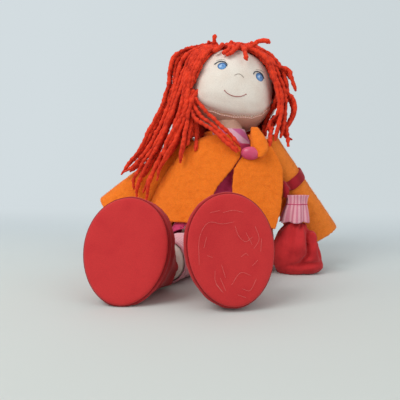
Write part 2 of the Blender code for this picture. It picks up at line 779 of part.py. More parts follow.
def build_arm(label, side):
    """The stuffed arm: a ball at the shoulder, a soft taper and a mitten hand."""
    joint, along, upright, back = arm_frame(side)
    rings = []
    for step in range(1, SHOULDER_RINGS):
        polar = math.pi / 2 * step / SHOULDER_RINGS
        radius = ARM_RADIUS * math.sin(polar)
        rings.append(ring(joint - along * ARM_RADIUS * math.cos(polar), upright, back,
                          radius, radius, LIMB_SIDES))
    for station, share in zip(arm_station_shares, arm_radius_shares):
        radius = ARM_RADIUS * share
        flat = 1.0 if station < hand_station_share else hand_flat_share
        rings.append(ring(joint + along * ARM_LENGTH * station, upright, back,
                          radius, radius * flat, LIMB_SIDES))
    poles = (joint - along * ARM_RADIUS, joint + along * ARM_LENGTH)
    return loft(f"arm_{label}", rings, "skin", joint, poles)


def sleeve_size(flare):
    """The sleeve's two outer radii where it has flared by this share."""
    return (SLEEVE_ROOT_RADIUS + (SLEEVE_MOUTH_RADIUS - SLEEVE_ROOT_RADIUS) * flare,
            SLEEVE_ROOT_RADIUS + (SLEEVE_DEPTH_RADIUS - SLEEVE_ROOT_RADIUS) * flare)


def build_sleeve(label, side):
    """The fleece sleeve: round at the armhole, belling out to its open mouth."""
    joint, along, upright, back = arm_frame(side)
    outer = []
    inner = []
    for step in range(4):
        angle = math.asin(sleeve_root_share) * (1 - step / 4)
        radius = SLEEVE_ROOT_RADIUS * math.cos(angle)
        centre = joint - along * SLEEVE_ROOT_RADIUS * math.sin(angle)
        outer.append(ring(centre, upright, back, radius, radius, BODY_SIDES))
        inner.append(ring(centre, upright, back, SLEEVE_BORE, SLEEVE_BORE, BODY_SIDES))
    for station, flare in zip(sleeve_station_shares, sleeve_flare_shares):
        centre = joint + along * SLEEVE_LENGTH * station
        tall, deep = sleeve_size(flare)
        wall = (SLEEVE_ROOT_RADIUS - SLEEVE_BORE) * (1 - flare) + FLEECE * flare
        outer.append(ring(centre, upright, back, tall, deep, BODY_SIDES))
        inner.append(ring(centre, upright, back, tall - wall, deep - wall, BODY_SIDES))
    return shell(f"coat_sleeve_{label}", outer, inner, "fleece", joint)


# Legs

def leg_frame(side):
    """Hip, and the slopes sideways and upwards of the leg towards its foot."""
    hip = hip_place(side)
    sole = Vector(RIGHT_SOLE if side < 0 else LEFT_SOLE)
    reach = hip.y - sole.y
    return hip, (sole.x - hip.x) / reach, foot_rise(side) / reach


def foot_rise(side):
    """How far the ankle's middle lies above the hip's, keeping the shoe off the floor."""
    sole = Vector(RIGHT_SOLE if side < 0 else LEFT_SOLE)
    return sole.z - SHOE_LENGTH / 2 + ANKLE_RADIUS + HEEL_WALL - HIP_RADIUS - GAP


def leg_ring(side, station, grow):
    """A cross-section of the leg at a distance ahead of the hip."""
    hip, slope, rise = leg_frame(side)
    share = station / LEG_LENGTH
    radius = HIP_RADIUS * interpolate(leg_station_shares, leg_radius_shares, share) + grow
    width = HIP_HALF_WIDTH * interpolate(leg_station_shares, leg_radius_shares, share) + grow
    centre = hip + Vector((slope * station, -station, rise * station))
    centre.x += side * GAP
    return ring(centre, (1, 0, 0), (0, 0, 1), width, radius, LIMB_SIDES, power=leg_power_share)


def build_leg(label, side):
    """The stuffed leg, rolled round the hip axis behind and tapering to the ankle."""
    hip = hip_place(side)
    rings = []
    for step in range(1, 6):
        angle = math.pi / 2 * step / 6
        section = ring(hip + Vector((side * GAP, HIP_RADIUS * math.cos(angle), 0)), (1, 0, 0),
                       (0, 0, 1), HIP_HALF_WIDTH, HIP_RADIUS * math.sin(angle), LIMB_SIDES,
                       power=leg_power_share)
        rings.append(section)
    for share in leg_station_shares:
        rings.append(leg_ring(side, share * LEG_LENGTH, 0.0))
    return loft(f"leg_{label}", rings, "skin", hip)


def build_legging(label, side, floor):
    """The pink legging, a thin tube round the thigh down to its cuff."""
    outer = []
    inner = []
    for step in range(5):
        station = LEGGING_START + (LEGGING_END - LEGGING_START) * step / 4
        cuff = JERSEY * cuff_share if step == 4 else 0.0
        outer.append(leg_ring(side, station, GAP + JERSEY + cuff))
        inner.append(leg_ring(side, station, GAP))
    legging = shell(f"legging_{label}", outer, inner, "stripe", hip_place(side))
    return cut(legging, floor)


def sole_frame(side):
    """Middle of a sole, its outward normal, and the directions across and up it."""
    if side < 0:
        place, turn, tilt, roll = RIGHT_SOLE, RIGHT_SOLE_TURN, RIGHT_SOLE_TILT, RIGHT_SOLE_ROLL
    else:
        place, turn, tilt, roll = LEFT_SOLE, LEFT_SOLE_TURN, LEFT_SOLE_TILT, LEFT_SOLE_ROLL
    turned = (Matrix.Rotation(turn, 3, "Z") @ Matrix.Rotation(-tilt, 3, "X")
              @ Matrix.Rotation(roll, 3, "Y"))
    return (Vector(place), turned @ Vector((0, -1, 0)), turned @ Vector((1, 0, 0)),
            turned @ Vector((0, 0, 1)))


def sole_ring(side, depth, grow):
    """The sole's oval outline, a little fuller at the toe, at a depth behind its face."""
    place, normal, across, up = sole_frame(side)
    points = ring((0, 0, 0), (1, 0, 0), (0, 0, 1), SHOE_WIDTH / 2 + grow,
                  SHOE_LENGTH / 2 + grow, 2 * LIMB_SIDES)
    result = []
    for point in points:
        fuller = 1 + toe_fuller_share * point.z / SHOE_LENGTH
        result.append(place - normal * depth + across * point.x * fuller + up * point.z)
    return result


def floor_cutter():
    """The space under the floor, which trims what rests on it."""
    reach = TORSO_HEIGHT * 2
    corners = ((-reach, -reach), (reach, -reach), (reach, reach), (-reach, reach))
    rings = [[Vector((x, y, z)) for x, y in corners] for z in (-CUT_OVERRUN, 0.0)]
    return loft("floor_clearance", rings)


def build_shoe(label, side, floor):
    """Flat sole, raised rand round its edge, and the padded upper round the ankle."""
    hip = hip_place(side)
    sole = loft(f"shoe_sole_{label}",
                [sole_ring(side, 0.0, -RAND_PROUD), sole_ring(side, SOLE_THICKNESS, -RAND_PROUD)],
                "shoe", hip)
    rand_start = SOLE_THICKNESS + GAP
    rand_end = rand_start + RAND_DEPTH
    rand = loft(f"shoe_rand_{label}",
                [sole_ring(side, rand_start, -RAND_PROUD),
                 *(sole_ring(side, rand_start + RAND_DEPTH * share, RAND_PROUD)
                   for share in rand_full_shares),
                 sole_ring(side, rand_end, 0.0)], "shoe", hip)
    upper = build_upper(label, side, rand_end + GAP)
    for piece in (sole, rand, upper):
        cut(piece, floor)
    return upper


def build_upper(label, side, start):
    """The padded upper, drawn in from the rand to the opening round the ankle."""
    place, normal, across, up = sole_frame(side)
    hip, slope, rise = leg_frame(side)
    ankle_station = (hip.y - place.y) - start - SHOE_DEPTH
    ankle = hip + Vector((slope * ankle_station, -ankle_station, rise * ankle_station))
    heading = Vector((slope, -1, rise)).normalized()
    rings = []
    for station, swell, shift in zip(shoe_station_shares, shoe_swell_shares, shoe_shift_shares):
        rear = ankle + heading * SHOE_DEPTH * (1 - station)
        base = place - normal * start - heading * SHOE_DEPTH * station
        centre = base.lerp(rear, shift)
        facing = normal.lerp(heading, shift).normalized()
        side_way = across.lerp(Vector((1, 0, 0)), shift)
        side_way = (side_way - facing * side_way.dot(facing)).normalized()
        rise_way = side_way.cross(facing)
        half_up = SHOE_LENGTH / 2 * swell * (1 - shift) + (ANKLE_RADIUS + SHOE_WALL) * shift
        half_across = SHOE_WIDTH / 2 * swell * (1 - shift) + (ANKLE_RADIUS + SHOE_WALL) * shift
        rings.append(ring(centre, side_way, rise_way, half_across, half_up, 2 * LIMB_SIDES))
    upper = loft(f"shoe_upper_{label}", rings, "shoe", hip)
    stations = [share * LEG_LENGTH for share in leg_station_shares[1:]]
    stations[-1] += GAP
    cut(upper, loft(f"ankle_clearance_{label}", [leg_ring(side, s, GAP) for s in stations]))
    return upper


# Head

def head_centre():
    """Middle of the head, above and behind the neck."""
    top = body_centre(TORSO_HEIGHT)
    return Vector((top.x + HEAD_SHIFT, HEAD_SETBACK, TORSO_HEIGHT + HEAD_RISE))


def head_turn():
    """How the head is rolled, tilted back and turned at rest."""
    return (Matrix.Rotation(HEAD_TURN, 3, "Z") @ Matrix.Rotation(-HEAD_TILT, 3, "X")
            @ Matrix.Rotation(HEAD_ROLL, 3, "Y"))


def nod_place():
    """The point that the head nods about, inside the neck."""
    top = body_centre(TORSO_HEIGHT)
    return Vector((top.x, top.y - NECK_SETBACK, TORSO_HEIGHT + NECK_HEIGHT * 0.5))


def build_head():
    """The stuffed head, its two ears and the neck that it nods on."""
    turn = head_turn()
    centre = head_centre()
    sizes = (HEAD_HALF_WIDTH, HEAD_HALF_DEPTH, HEAD_HALF_HEIGHT)
    ball("head", centre, sizes, "skin", turn, nod_place(), bulge=fuller)
    clearance = ball("head_clearance", centre, tuple(s + GAP for s in sizes), None, turn,
                     bulge=fuller)
    build_neck(clearance)
    ear_sizes = (EAR_HALF_WIDTH, EAR_HALF_DEPTH, EAR_HALF_HEIGHT)
    ear_clearances = []
    for label, side in (("right", -1), ("left", 1)):
        place = centre + turn @ Vector((side * HEAD_HALF_WIDTH * ear_side_share,
                                        HEAD_HALF_DEPTH * ear_back_share,
                                        -HEAD_HALF_HEIGHT * ear_drop_share))
        ear = ball(f"ear_{label}", place, ear_sizes, "skin", turn, nod_place(), LIMB_SIDES)
        cut(ear, clearance)
        ear_clearances.append(ball(f"ear_clearance_{label}", place,
                                   tuple(size + GAP for size in ear_sizes), None, turn,
                                   sides=LIMB_SIDES))
    return ear_clearances


def build_neck(clearance):
    """The cloth neck, a short column that the head sits on."""
    top = body_centre(TORSO_HEIGHT)
    rings = []
    for step in range(5):
        share = step / 4
        centre = Vector((top.x, top.y - NECK_SETBACK * share, TORSO_HEIGHT + GAP + NECK_HEIGHT * share))
        radius = NECK_RADIUS * (1 - neck_waist_share * math.sin(math.pi * share))
        rings.append(ring(centre, (1, 0, 0), (0, 1, 0), radius, radius, BODY_SIDES))
    neck = loft("neck", rings, "skin", top)
    cut(neck, clearance)


# Hair

def build_hair(ear_clearances):
    """Cap of rooted yarn, the hanging bundles, and the loose locks."""
    cap = build_cap()
    for cutter in ear_clearances:
        cut(cap, cutter)
    outer = tuple(s + CAP_EASE + CAP_THICKNESS + CAP_CLEARANCE
                  for s in (HEAD_HALF_WIDTH, HEAD_HALF_DEPTH, HEAD_HALF_HEIGHT))
    clearance = ball("cap_clearance", head_centre(), outer, None, head_turn(), bulge=fuller)
    bundles = {"hair_bundle_right": right_bundle_shares, "hair_bundle_chest": chest_bundle_shares,
               "hair_bundle_cross": cross_bundle_shares, "hair_bundle_left": left_bundle_shares,
               "hair_bundle_back": back_bundle_shares}
    for name, stations in bundles.items():
        bundle = cut(build_bundle(name, stations), clearance)
        for cutter in ear_clearances:
            cut(bundle, cutter)
    for name, places in loose_lock_shares.items():
        cut(build_lock(name, places), clearance)


def build_cap():
    """A thick shell over the back and crown of the head."""
    axis = Vector((0, math.cos(CAP_AXIS_TILT), math.sin(CAP_AXIS_TILT)))
    across = Vector((1, 0, 0))
    up = across.cross(axis).normalized()
    turn = head_turn()
    centre = head_centre()
    grids = []
    for grow in (CAP_EASE + CAP_THICKNESS, CAP_EASE):
        sizes = Vector((HEAD_HALF_WIDTH + grow, HEAD_HALF_DEPTH + grow, HEAD_HALF_HEIGHT + grow))
        grid = []
        for level in range(1, 11):
            polar = CAP_REACH * level / 10
            row = []
            for index in range(BODY_SIDES):
                angle = math.tau * index / BODY_SIDES
                unit = (axis * math.cos(polar)
                        + (across * math.cos(angle) + up * math.sin(angle)) * math.sin(polar))
                bulge = fuller(unit)
                row.append(centre + turn @ Vector(u * s * bulge for u, s in zip(unit, sizes)))
            grid.append(row)
        pole = centre + turn @ Vector(u * s for u, s in zip(axis, sizes))
        grids.append((grid, pole))
    points = []
    faces = []
    bases = []
    for grid, pole in grids:
        bases.append(len(points))
        points += [point for row in grid for point in row] + [pole]
    rows = len(grids[0][0])
    for base in bases:
        for row in range(rows - 1):
            for i in range(BODY_SIDES):
                j = (i + 1) % BODY_SIDES
                a = base + row * BODY_SIDES
                faces.append((a + i, a + j, a + BODY_SIDES + j, a + BODY_SIDES + i))
        for i in range(BODY_SIDES):
            faces.append((base + i, base + (i + 1) % BODY_SIDES, base + rows * BODY_SIDES))
    rim = (rows - 1) * BODY_SIDES
    for i in range(BODY_SIDES):
        j = (i + 1) % BODY_SIDES
        faces.append((bases[0] + rim + i, bases[0] + rim + j, bases[1] + rim + j, bases[1] + rim + i))
    return mesh_object("hair_cap", points, faces, "hair", nod_place())


def build_bundle(name, stations):
    """A hanging bundle of locks: a lofted body with a ridge for each lock."""
    centre = head_centre()
    places = [centre + Vector(row[:3]) * HEAD_HALF_WIDTH for row in stations]
    rings = []
    for index, (place, row) in enumerate(zip(places, stations)):
        before = places[max(0, index - 1)]
        after = places[min(len(places) - 1, index + 1)]
        along = (after - before).normalized()
        out = Vector((0, -1, 0)) if name != "hair_bundle_back" else Vector((0, 1, 0))
        across = along.cross(out).normalized()
        out = across.cross(along).normalized()
        rings.append(ring(place, across, out, row[3] * HEAD_HALF_WIDTH, row[4] * HEAD_HALF_WIDTH,
                          RIDGE_SIDES, LOCK_COUNT, LOCK_RIDGE))
    return loft(name, rings, "hair", nod_place())


def build_lock(name, places):
    """One loose lock of yarn that stands off the cap."""
    centre = head_centre()
    return sweep(name, smooth_route([centre + Vector(p) * HEAD_HALF_WIDTH for p in places], 3),
                 YARN / 2, "hair", nod_place())


# Bag

def bag_centre(height):
    """Middle of the bag at a height above the floor."""
    return Vector((BAG_ACROSS, -BAG_FORWARD, height))


def build_bag():
    """The pouch, its striped frill, the drawstring and the strap over the arm."""
    rings = []
    for level, swell in zip(bag_level_shares, bag_swell_shares):
        height = BAG_HEIGHT * level
        rings.append(ring(bag_centre(height) - Vector((FRILL_SHIFT * level, 0, 0)), (1, 0, 0),
                          (0, 1, 0), BAG_HALF_WIDTH * swell, BAG_HALF_DEPTH * swell,
                          RIDGE_SIDES, GATHERS, BAG_FOLD * min(1.0, level / full_fold_share)))
    loft("bag_pouch", rings, "bag", strap_top())
    build_frill()


def frill_ring(level, swell, grow, ruffle):
    """A gathered ring of the frill."""
    centre = bag_centre(BAG_HEIGHT + FRILL_HEIGHT * level)
    centre.x -= FRILL_SHIFT
    return ring(centre, (1, 0, 0), (0, 1, 0), FRILL_HALF_WIDTH * swell + grow,
                FRILL_HALF_DEPTH * swell + grow, RIDGE_SIDES, GATHERS, ruffle)


def build_frill():
    """The striped frill above the pouch, with the drawstring round its waist."""
    start = GAP / FRILL_HEIGHT
    rings = [frill_ring(max(level, start), swell, 0.0, FRILL_RUFFLE)
             for level, swell in zip(frill_level_shares, frill_swell_shares)]
    loft("bag_frill", rings, "stripe", strap_top())
    middle = interpolate(frill_level_shares, frill_swell_shares, drawstring_level_share)
    outer = [frill_ring(drawstring_level_share - string_half_share, middle,
                        GAP + 2 * DRAWSTRING_RADIUS, 0.0),
             frill_ring(drawstring_level_share + string_half_share, middle,
                        GAP + 2 * DRAWSTRING_RADIUS, 0.0)]
    inner = [frill_ring(drawstring_level_share - string_half_share, middle, string_ease(), 0.0),
             frill_ring(drawstring_level_share + string_half_share, middle, string_ease(), 0.0)]
    shell("bag_drawstring", outer, inner, "bag", strap_top())


def string_ease():
    """The drawstring's inner face, just clear of the gathered frill."""
    return FRILL_HALF_WIDTH * string_sink_share + GAP


def strap_route():
    """The strap's middle line: up in front of the sleeve, over it, and down behind."""
    joint, along, upright, back = arm_frame(1)
    hang = joint + along * SLEEVE_LENGTH * strap_station_share
    clear = SLEEVE_ROOT_RADIUS * strap_wrap_share + GAP + STRAP_THICKNESS
    top = hang + upright * clear
    front = hang - back * clear
    rear = hang + back * clear
    foot = bag_centre(BAG_HEIGHT + FRILL_HEIGHT) + Vector((-FRILL_SHIFT, 0, STRAP_EASE))
    return [foot, foot.lerp(front, 0.5) + Vector((0, -STRAP_THICKNESS, 0)), front,
            hang + (upright - back).normalized() * clear, top,
            hang + (upright + back).normalized() * clear, rear]


def strap_top():
    """Where the strap bears on the sleeve, which the bag swings about."""
    return strap_route()[4]


def build_strap():
    """A flat band along its route, one closed strip."""
    route = smooth_route(strap_route(), 4)
    across = arm_frame(1)[1]
    rings = []
    for index, place in enumerate(route):
        before = route[max(0, index - 1)]
        after = route[min(len(route) - 1, index + 1)]
        along = (after - before).normalized()
        side_way = (across - along * across.dot(along)).normalized()
        out = side_way.cross(along)
        half = STRAP_WIDTH / 2
        thick = STRAP_THICKNESS / 2
        rings.append([place + side_way * a * half + out * b * thick
                      for a, b in ((-1, -1), (1, -1), (1, 1), (-1, 1))])
    return loft("bag_strap", rings, "bag", strap_top())


def main():
    """Build every piece in order."""
    clear_scene()
    armholes = armhole_cutters()
    floor = floor_cutter()
    build_torso(armholes)
    build_shirt(armholes)
    build_dress(armholes)
    build_coat_back(armholes)
    build_coat_front("right", right_inner_shares, right_outer_shares)
    build_coat_front("left", left_inner_shares, left_outer_shares)
    build_collar(armholes)
    build_lapel()
    build_button()
    for label, side in (("right", -1), ("left", 1)):
        build_arm(label, side)
        build_sleeve(label, side)
        build_leg(label, side)
        build_legging(label, side, floor)
        build_shoe(label, side, floor)
    build_hair(build_head())
    build_bag()
    build_strap()


main()
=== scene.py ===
"""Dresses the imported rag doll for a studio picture: cloth, yarn, padding and stitching.

Metres, +Z up. The doll faces -Y and its own left is +X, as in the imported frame.
"""

import logging
from collections.abc import Callable, Sequence
from dataclasses import dataclass
from enum import Enum
from math import atan2, cos, exp, hypot, pi, radians, sin, tau

import bmesh
import bpy
from bpy.types import ID, Material, Mesh, Node, NodeSocket, NodeTree, Object
from mathutils import Matrix, Vector, noise
from mathutils.bvhtree import BVHTree


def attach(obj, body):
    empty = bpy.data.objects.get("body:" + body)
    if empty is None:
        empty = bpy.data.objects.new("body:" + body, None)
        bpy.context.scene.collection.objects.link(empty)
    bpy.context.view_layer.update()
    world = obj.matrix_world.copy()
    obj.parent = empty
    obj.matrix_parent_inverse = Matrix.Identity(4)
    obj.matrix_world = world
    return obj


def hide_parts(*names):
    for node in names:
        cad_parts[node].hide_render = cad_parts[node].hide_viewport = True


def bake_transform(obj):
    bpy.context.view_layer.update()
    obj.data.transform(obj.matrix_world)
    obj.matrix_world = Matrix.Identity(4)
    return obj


LOG = logging.getLogger("rag_doll")
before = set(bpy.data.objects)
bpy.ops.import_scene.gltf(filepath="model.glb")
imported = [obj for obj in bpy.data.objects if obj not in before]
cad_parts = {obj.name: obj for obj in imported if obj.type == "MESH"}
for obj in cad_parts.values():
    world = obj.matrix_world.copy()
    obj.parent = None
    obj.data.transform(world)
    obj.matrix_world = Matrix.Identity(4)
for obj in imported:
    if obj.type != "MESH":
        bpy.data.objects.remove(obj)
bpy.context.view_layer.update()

# Coordinates of a place, a table's numbers, lines of places, rows of a grid, and a height over a surface
Point = Sequence[float]
Row = Sequence[float]
Paths = Sequence[Sequence[Point]]
Grid = Sequence[Sequence[Vector]]
Height = Callable[[Vector, Vector], float]

# Width of one pattern repeat, in UV units
REPEAT = 0.05
# Frames of the cloth simulation that swells a pad
FILL_FRAMES = 14
# Radius of one fibre of nap or lint, in metres
FIBRE = 0.00009


class Side(Enum):
    """The doll's own right and left."""

    RIGHT = "right"
    LEFT = "left"

    @property
    def sign(self) -> int:
        """-1 for the right, 1 for the left."""
        return -1 if self is Side.RIGHT else 1

    def __str__(self) -> str:
        """The side as it stands in the names of nodes."""
        return self.value


# Finishes

def linear(colour: str) -> tuple[float, float, float, float]:
    """Turn an sRGB hex colour into linear light.

    Args:
        colour: Six hex digits after a hash.

    Returns:
        Linear red, green and blue, and an alpha of 1.
    """
    parts = [int(colour[i:i + 2], 16) / 255 for i in (1, 3, 5)]
    lit = [c / 12.92 if c <= 0.04045 else ((c + 0.055) / 1.055) ** 2.4 for c in parts]
    return (*lit, 1.0)


def adjust(node: Node, settings: dict) -> None:
    """Set a node's sockets and properties.

    Args:
        node: The node.
        settings: Socket names or numbers, or node properties, with their values.
    """
    for key, value in settings.items():
        if isinstance(key, int) or key in node.inputs:
            node.inputs[key].default_value = value
        else:
            setattr(node, key, value)


def add_node(tree: NodeTree, kind: str, settings: dict | None = None, links: dict | None = None) -> Node:
    """Add one node with its settings and links.

    Args:
        tree: The material or geometry tree.
        kind: The node's type name, which goes without ShaderNode in front of it.
        settings: Socket names or numbers, or node properties, with their values.
        links: Socket names or numbers, with the output that feeds each.

    Returns:
        The new node.
    """
    made = tree.nodes.new(kind if "Node" in kind else f"ShaderNode{kind}")
    adjust(made, settings or {})
    for key, source in (links or {}).items():
        tree.links.new(source, made.inputs[key])
    return made


def new_material(name: str) -> tuple[Material, NodeTree, Node]:
    """Start a node material.

    Args:
        name: The material's name.

    Returns:
        The material, its tree and its shader.
    """
    material = bpy.data.materials.new(name)
    material.use_nodes = True
    tree = material.node_tree
    return material, tree, tree.nodes["Principled BSDF"]


class Pattern(Enum):
    """How the second colour lies on a cloth."""

    MOTTLED = "mottled"
    STRIPED = "striped"
    SHADED_HOLLOWS = "lumped"


@dataclass(frozen=True)
class Cloth:
    """A cloth, thread or yarn finish.

    Attributes:
        name: What the real material is.
        colour: Main colour, sRGB.
        shade: Second colour, sRGB, for patches, the other stripe, and the painted shade where a yarn thins.
        grain: Spacing of the fibres or knit, in metres.
        patch: Size of the colour patches, or width of two stripes in UV units.
        relief: Height of the grain, in metres.
        roughness: Surface roughness.
        sheen: Weight of the light that the fibre ends scatter.
        pattern: How the second colour lies.
    """

    name: str
    colour: str
    shade: str
    grain: float
    patch: float
    relief: float
    roughness: float = 0.9
    sheen: float = 0.25
    pattern: Pattern = Pattern.MOTTLED

    def build(self) -> Material:
        """Make the material.

        Returns:
            A node material on Object coordinates, a UV map or the yarn's own attribute.
        """
        material, tree, shader = new_material(self.name)
        adjust(shader, {"Roughness": self.roughness, "Sheen Weight": self.sheen,
                        "Sheen Roughness": 0.45, "Specular IOR Level": 0.25})
        place = add_node(tree, "TexCoord")
        grain = add_node(
            tree, "TexNoise", {"Scale": 1 / self.grain, "Detail": 3.0, "Roughness": 0.65},
            {"Vector": place.outputs["Object"]})
        blend = self._blend(tree, place)
        # Painted shade and light: the grain's hollows, which the bump sinks, are darker and its crests
        # lighter
        grain_shade = add_node(
            tree, "MapRange", {"From Min": 0.3, "From Max": 0.7, "To Min": 0.88, "To Max": 1.1},
            {"Value": grain.outputs[0]})
        lit = add_node(tree, "Mix", {"data_type": "RGBA", "blend_type": "MULTIPLY", 0: 1.0},
                       {6: blend.outputs[2], 7: grain_shade.outputs[0]})
        bump = add_node(tree, "Bump", {"Strength": 0.8, "Distance": self.relief},
                        {"Height": grain.outputs[0]})
        tree.links.new(lit.outputs[2], shader.inputs["Base Color"])
        tree.links.new(bump.outputs["Normal"], shader.inputs["Normal"])
        return material

    def _blend(self, tree: NodeTree, place: Node) -> Node:
        """Mix the two colours.

        Args:
            tree: The material's tree.
            place: Its texture coordinate node.

        Returns:
            The mix node, whose colour is output 2.
        """
        if self.pattern is Pattern.STRIPED:
            split = add_node(tree, "SeparateXYZ", links={0: place.outputs["UV"]})
            wave = add_node(tree, "Math", {"operation": "MULTIPLY", 1: tau / self.patch},
                            {0: split.outputs[0]})
            source = add_node(tree, "Math", {"operation": "SINE"}, {0: wave.outputs[0]})
            low, high = -0.35, 0.35
        elif self.pattern is Pattern.SHADED_HOLLOWS:
            # Painted shade: the thinner the yarn between its lumps and plies, the more of the darker colour
            source = add_node(tree, "Attribute", {"attribute_name": "lump"})
            source = add_node(tree, "Math", {"operation": "SUBTRACT", 0: 1.0}, {1: source.outputs["Fac"]})
            low, high = 0.25, 1.0
        else:
            source = add_node(tree, "TexNoise", {"Scale": 1 / self.patch, "Detail": 4.0},
                              {"Vector": place.outputs["Object"]})
            low, high = 0.42, 0.72
        share = add_node(
            tree, "MapRange", {"From Min": low, "From Max": high, "interpolation_type": "SMOOTHSTEP"},
            {"Value": source.outputs[0]})
        return add_node(
            tree, "Mix", {"data_type": "RGBA", 6: linear(self.colour), 7: linear(self.shade)},
            {0: share.outputs[0]})


@dataclass(frozen=True)
class Resin:
    """Cast and tumbled resin: a faintly clouded colour with a soft highlight.

    Attributes:
        name: What the real material is.
        colour: Main colour, sRGB.
        shade: Colour of its clouds, sRGB.
        roughness: Surface roughness.
        cloud: Size of the clouds, in metres.
    """

    name: str
    colour: str
    shade: str
    roughness: float
    cloud: float = 0.006

    def build(self) -> Material:
        """Make the material.

        Returns:
            A node material on Object coordinates.
        """
        material, tree, shader = new_material(self.name)
        place = add_node(tree, "TexCoord")
        cloud = add_node(tree, "TexNoise", {"Scale": 1 / self.cloud, "Detail": 2.0},
                         {"Vector": place.outputs["Object"]})
        colour = add_node(
            tree, "Mix", {"data_type": "RGBA", 6: linear(self.colour), 7: linear(self.shade)},
            {0: cloud.outputs[0]})
        tree.links.new(colour.outputs[2], shader.inputs["Base Color"])
        adjust(shader, {"Roughness": self.roughness, "Coat Weight": 0.3, "Coat Roughness": 0.2})
        return material


def floss(name: str, colour: str, shade: str, patch: float = 0.002, relief: float = 0.00006) -> Cloth:
    """Embroidery floss: tight, slightly glossy thread."""
    return Cloth(f"floss_{name}", colour, shade, 0.0004, patch, relief, 0.6, 0.1)


# Knitted cotton stretched over filling: almost smooth, a faint knit and a warm flush
SKIN = Cloth("cotton_jersey", "#e8dfd3", "#e3d6c8", 0.0007, 0.022, 0.00006, 0.85, 0.1)
# The same jersey, darker and warmer under the chin and on the neck: painted shade with a painted reflection
# of the red and orange cloth
JERSEY_PAINTED_SHADE = Cloth("cotton_jersey_painted_shade", "#d2aa94", "#c89c86", 0.0007, 0.022, 0.00006, 0.85, 0.1)
# Chenille yarn: short pile round a twisted core, with painted shade where it thins between lumps and plies
YARN = Cloth("chenille_yarn", "#f04324", "#a81e0f", 0.0012, 0.004, 0.0004, 0.95, 0.07, Pattern.SHADED_HOLLOWS)
# Cut fleece: a matt nap that pills, faintly mottled at random
FLEECE = Cloth("cut_fleece", "#f37d20", "#ec761a", 0.001, 0.0065, 0.00035, 0.95, 0.07)
# A paler, duller copy of the same fleece for the doll's left sleeve: painted light
FLEECE_PAINTED_LIGHT = Cloth("cut_fleece_painted_light", "#eb812c", "#e27a26", 0.001, 0.0065, 0.00035, 0.95, 0.07)
# Paler fibres among the pile, which speckle the fleece: painted highlight on the standing fibre tips
NAP_HIGHLIGHT = Cloth("fleece_painted_highlight", "#fb9a42", "#ee7b22", 0.001, 0.006, 0.0001, 0.95, 0.1)
# Short-pile velour: even and deep, with a bloom at grazing light
SOLE = Cloth("velour_sole", "#c73031", "#c22b2e", 0.0006, 0.018, 0.00008, 0.85, 0.1)
UPPER = Cloth("velour_upper", "#b52a2c", "#a82327", 0.0006, 0.014, 0.00012, 0.85, 0.12)
BAG = Cloth("velour_bag", "#c22a2d", "#ad2025", 0.0006, 0.014, 0.00012, 0.85, 0.12)
STRAP = Cloth("velour_strap", "#a81c28", "#8e141e", 0.0006, 0.01, 0.00012, 0.85, 0.12)
# Plain woven cotton with a slight slub
DRESS = Cloth("woven_cotton", "#cc3f6c", "#b52c57", 0.0005, 0.01, 0.0001, 0.85, 0.15)
# Yarn-dyed jersey: rose and pale pink stripes, about four to the centimetre
STRIPES = Cloth("striped_jersey", "#e7abb5", "#d28092", 0.0006, REPEAT, 0.00008, 0.85, 0.15, Pattern.STRIPED)
# The shirt's stripes are twice as wide
SHIRT = Cloth("striped_shirting", "#e6b4c6", "#cf6a9c", 0.0006, 2 * REPEAT, 0.00008, 0.85, 0.15,
              Pattern.STRIPED)
LEGGING = Cloth("striped_legging", "#eec3c6", "#dd9aa6", 0.0006, REPEAT, 0.00008, 0.85, 0.15, Pattern.STRIPED)
FLOSS_ROSE = floss("rose", "#b06a66", "#9a5552")
FLOSS_GREY = floss("grey", "#a39488", "#8f8175")
FLOSS_LASH = floss("lash", "#4b5560", "#333b45")
FLOSS_TAN = floss("tan", "#b9aa9c", "#ab9b8d")
FLOSS_PINK = floss("pink", "#f6d8cd", "#efc5b8")
FLOSS_BLUE = floss("blue", "#709fd2", "#5486c2", 0.0012, 0.00008)
FLOSS_DEEP = floss("deep_blue", "#4a6f9c", "#3a5a86")
FLOSS_LIGHT = floss("light_blue", "#dfeaf6", "#c6d9ee")
FLOSS_PALE = floss("pale_blue", "#a9c9e8", "#8fb5dc")
# Dull sewing thread, and lint caught on the velour
SEAM = Cloth("seam_thread", "#9c1a1e", "#86151a", 0.0004, 0.002, 0.00005, 0.8, 0.05)
LINT = Cloth("lint_fibre", "#da7f78", "#d2706a", 0.0004, 0.002, 0.00003, 0.8, 0.1)
BUTTON = Resin("cast_resin", "#dd4a72", "#c33c66", 0.38)


class Wardrobe:
    """Makes each finish once."""

    def __init__(self) -> None:
        """Start with nothing made."""
        self._made: dict[str, Material] = {}

    def get(self, finish: Cloth | Resin) -> Material:
        """Give the finish's material, made on first use.

        Args:
            finish: The finish.

        Returns:
            Its material.
        """
        if finish.name not in self._made:
            self._made[finish.name] = finish.build()
        return self._made[finish.name]


WARDROBE = Wardrobe()


# Mesh work

def clamp(value: float) -> float:
    """Keep a share between 0 and 1."""
    return max(0.0, min(1.0, value))


def turns(count: int) -> list[float]:
    """Angles that divide a full turn evenly, in radians."""
    return [tau * i / count for i in range(count)]


def held(turn: float, tilt: float, roll: float) -> Matrix:
    """How a head or foot is held: turned about Z, leant back about X, leant sideways about Y."""
    return Matrix.Rotation(turn, 3, "Z") @ Matrix.Rotation(-tilt, 3, "X") @ Matrix.Rotation(roll, 3, "Y")


def add_object(name: str, data: ID) -> Object:
    """Put a new object in the scene.

    Args:
        name: The object's name.
        data: Its mesh, curve, lamp or camera.

    Returns:
        The object, at the origin.
    """
    made = bpy.data.objects.new(name, data)
    bpy.context.collection.objects.link(made)
    return made


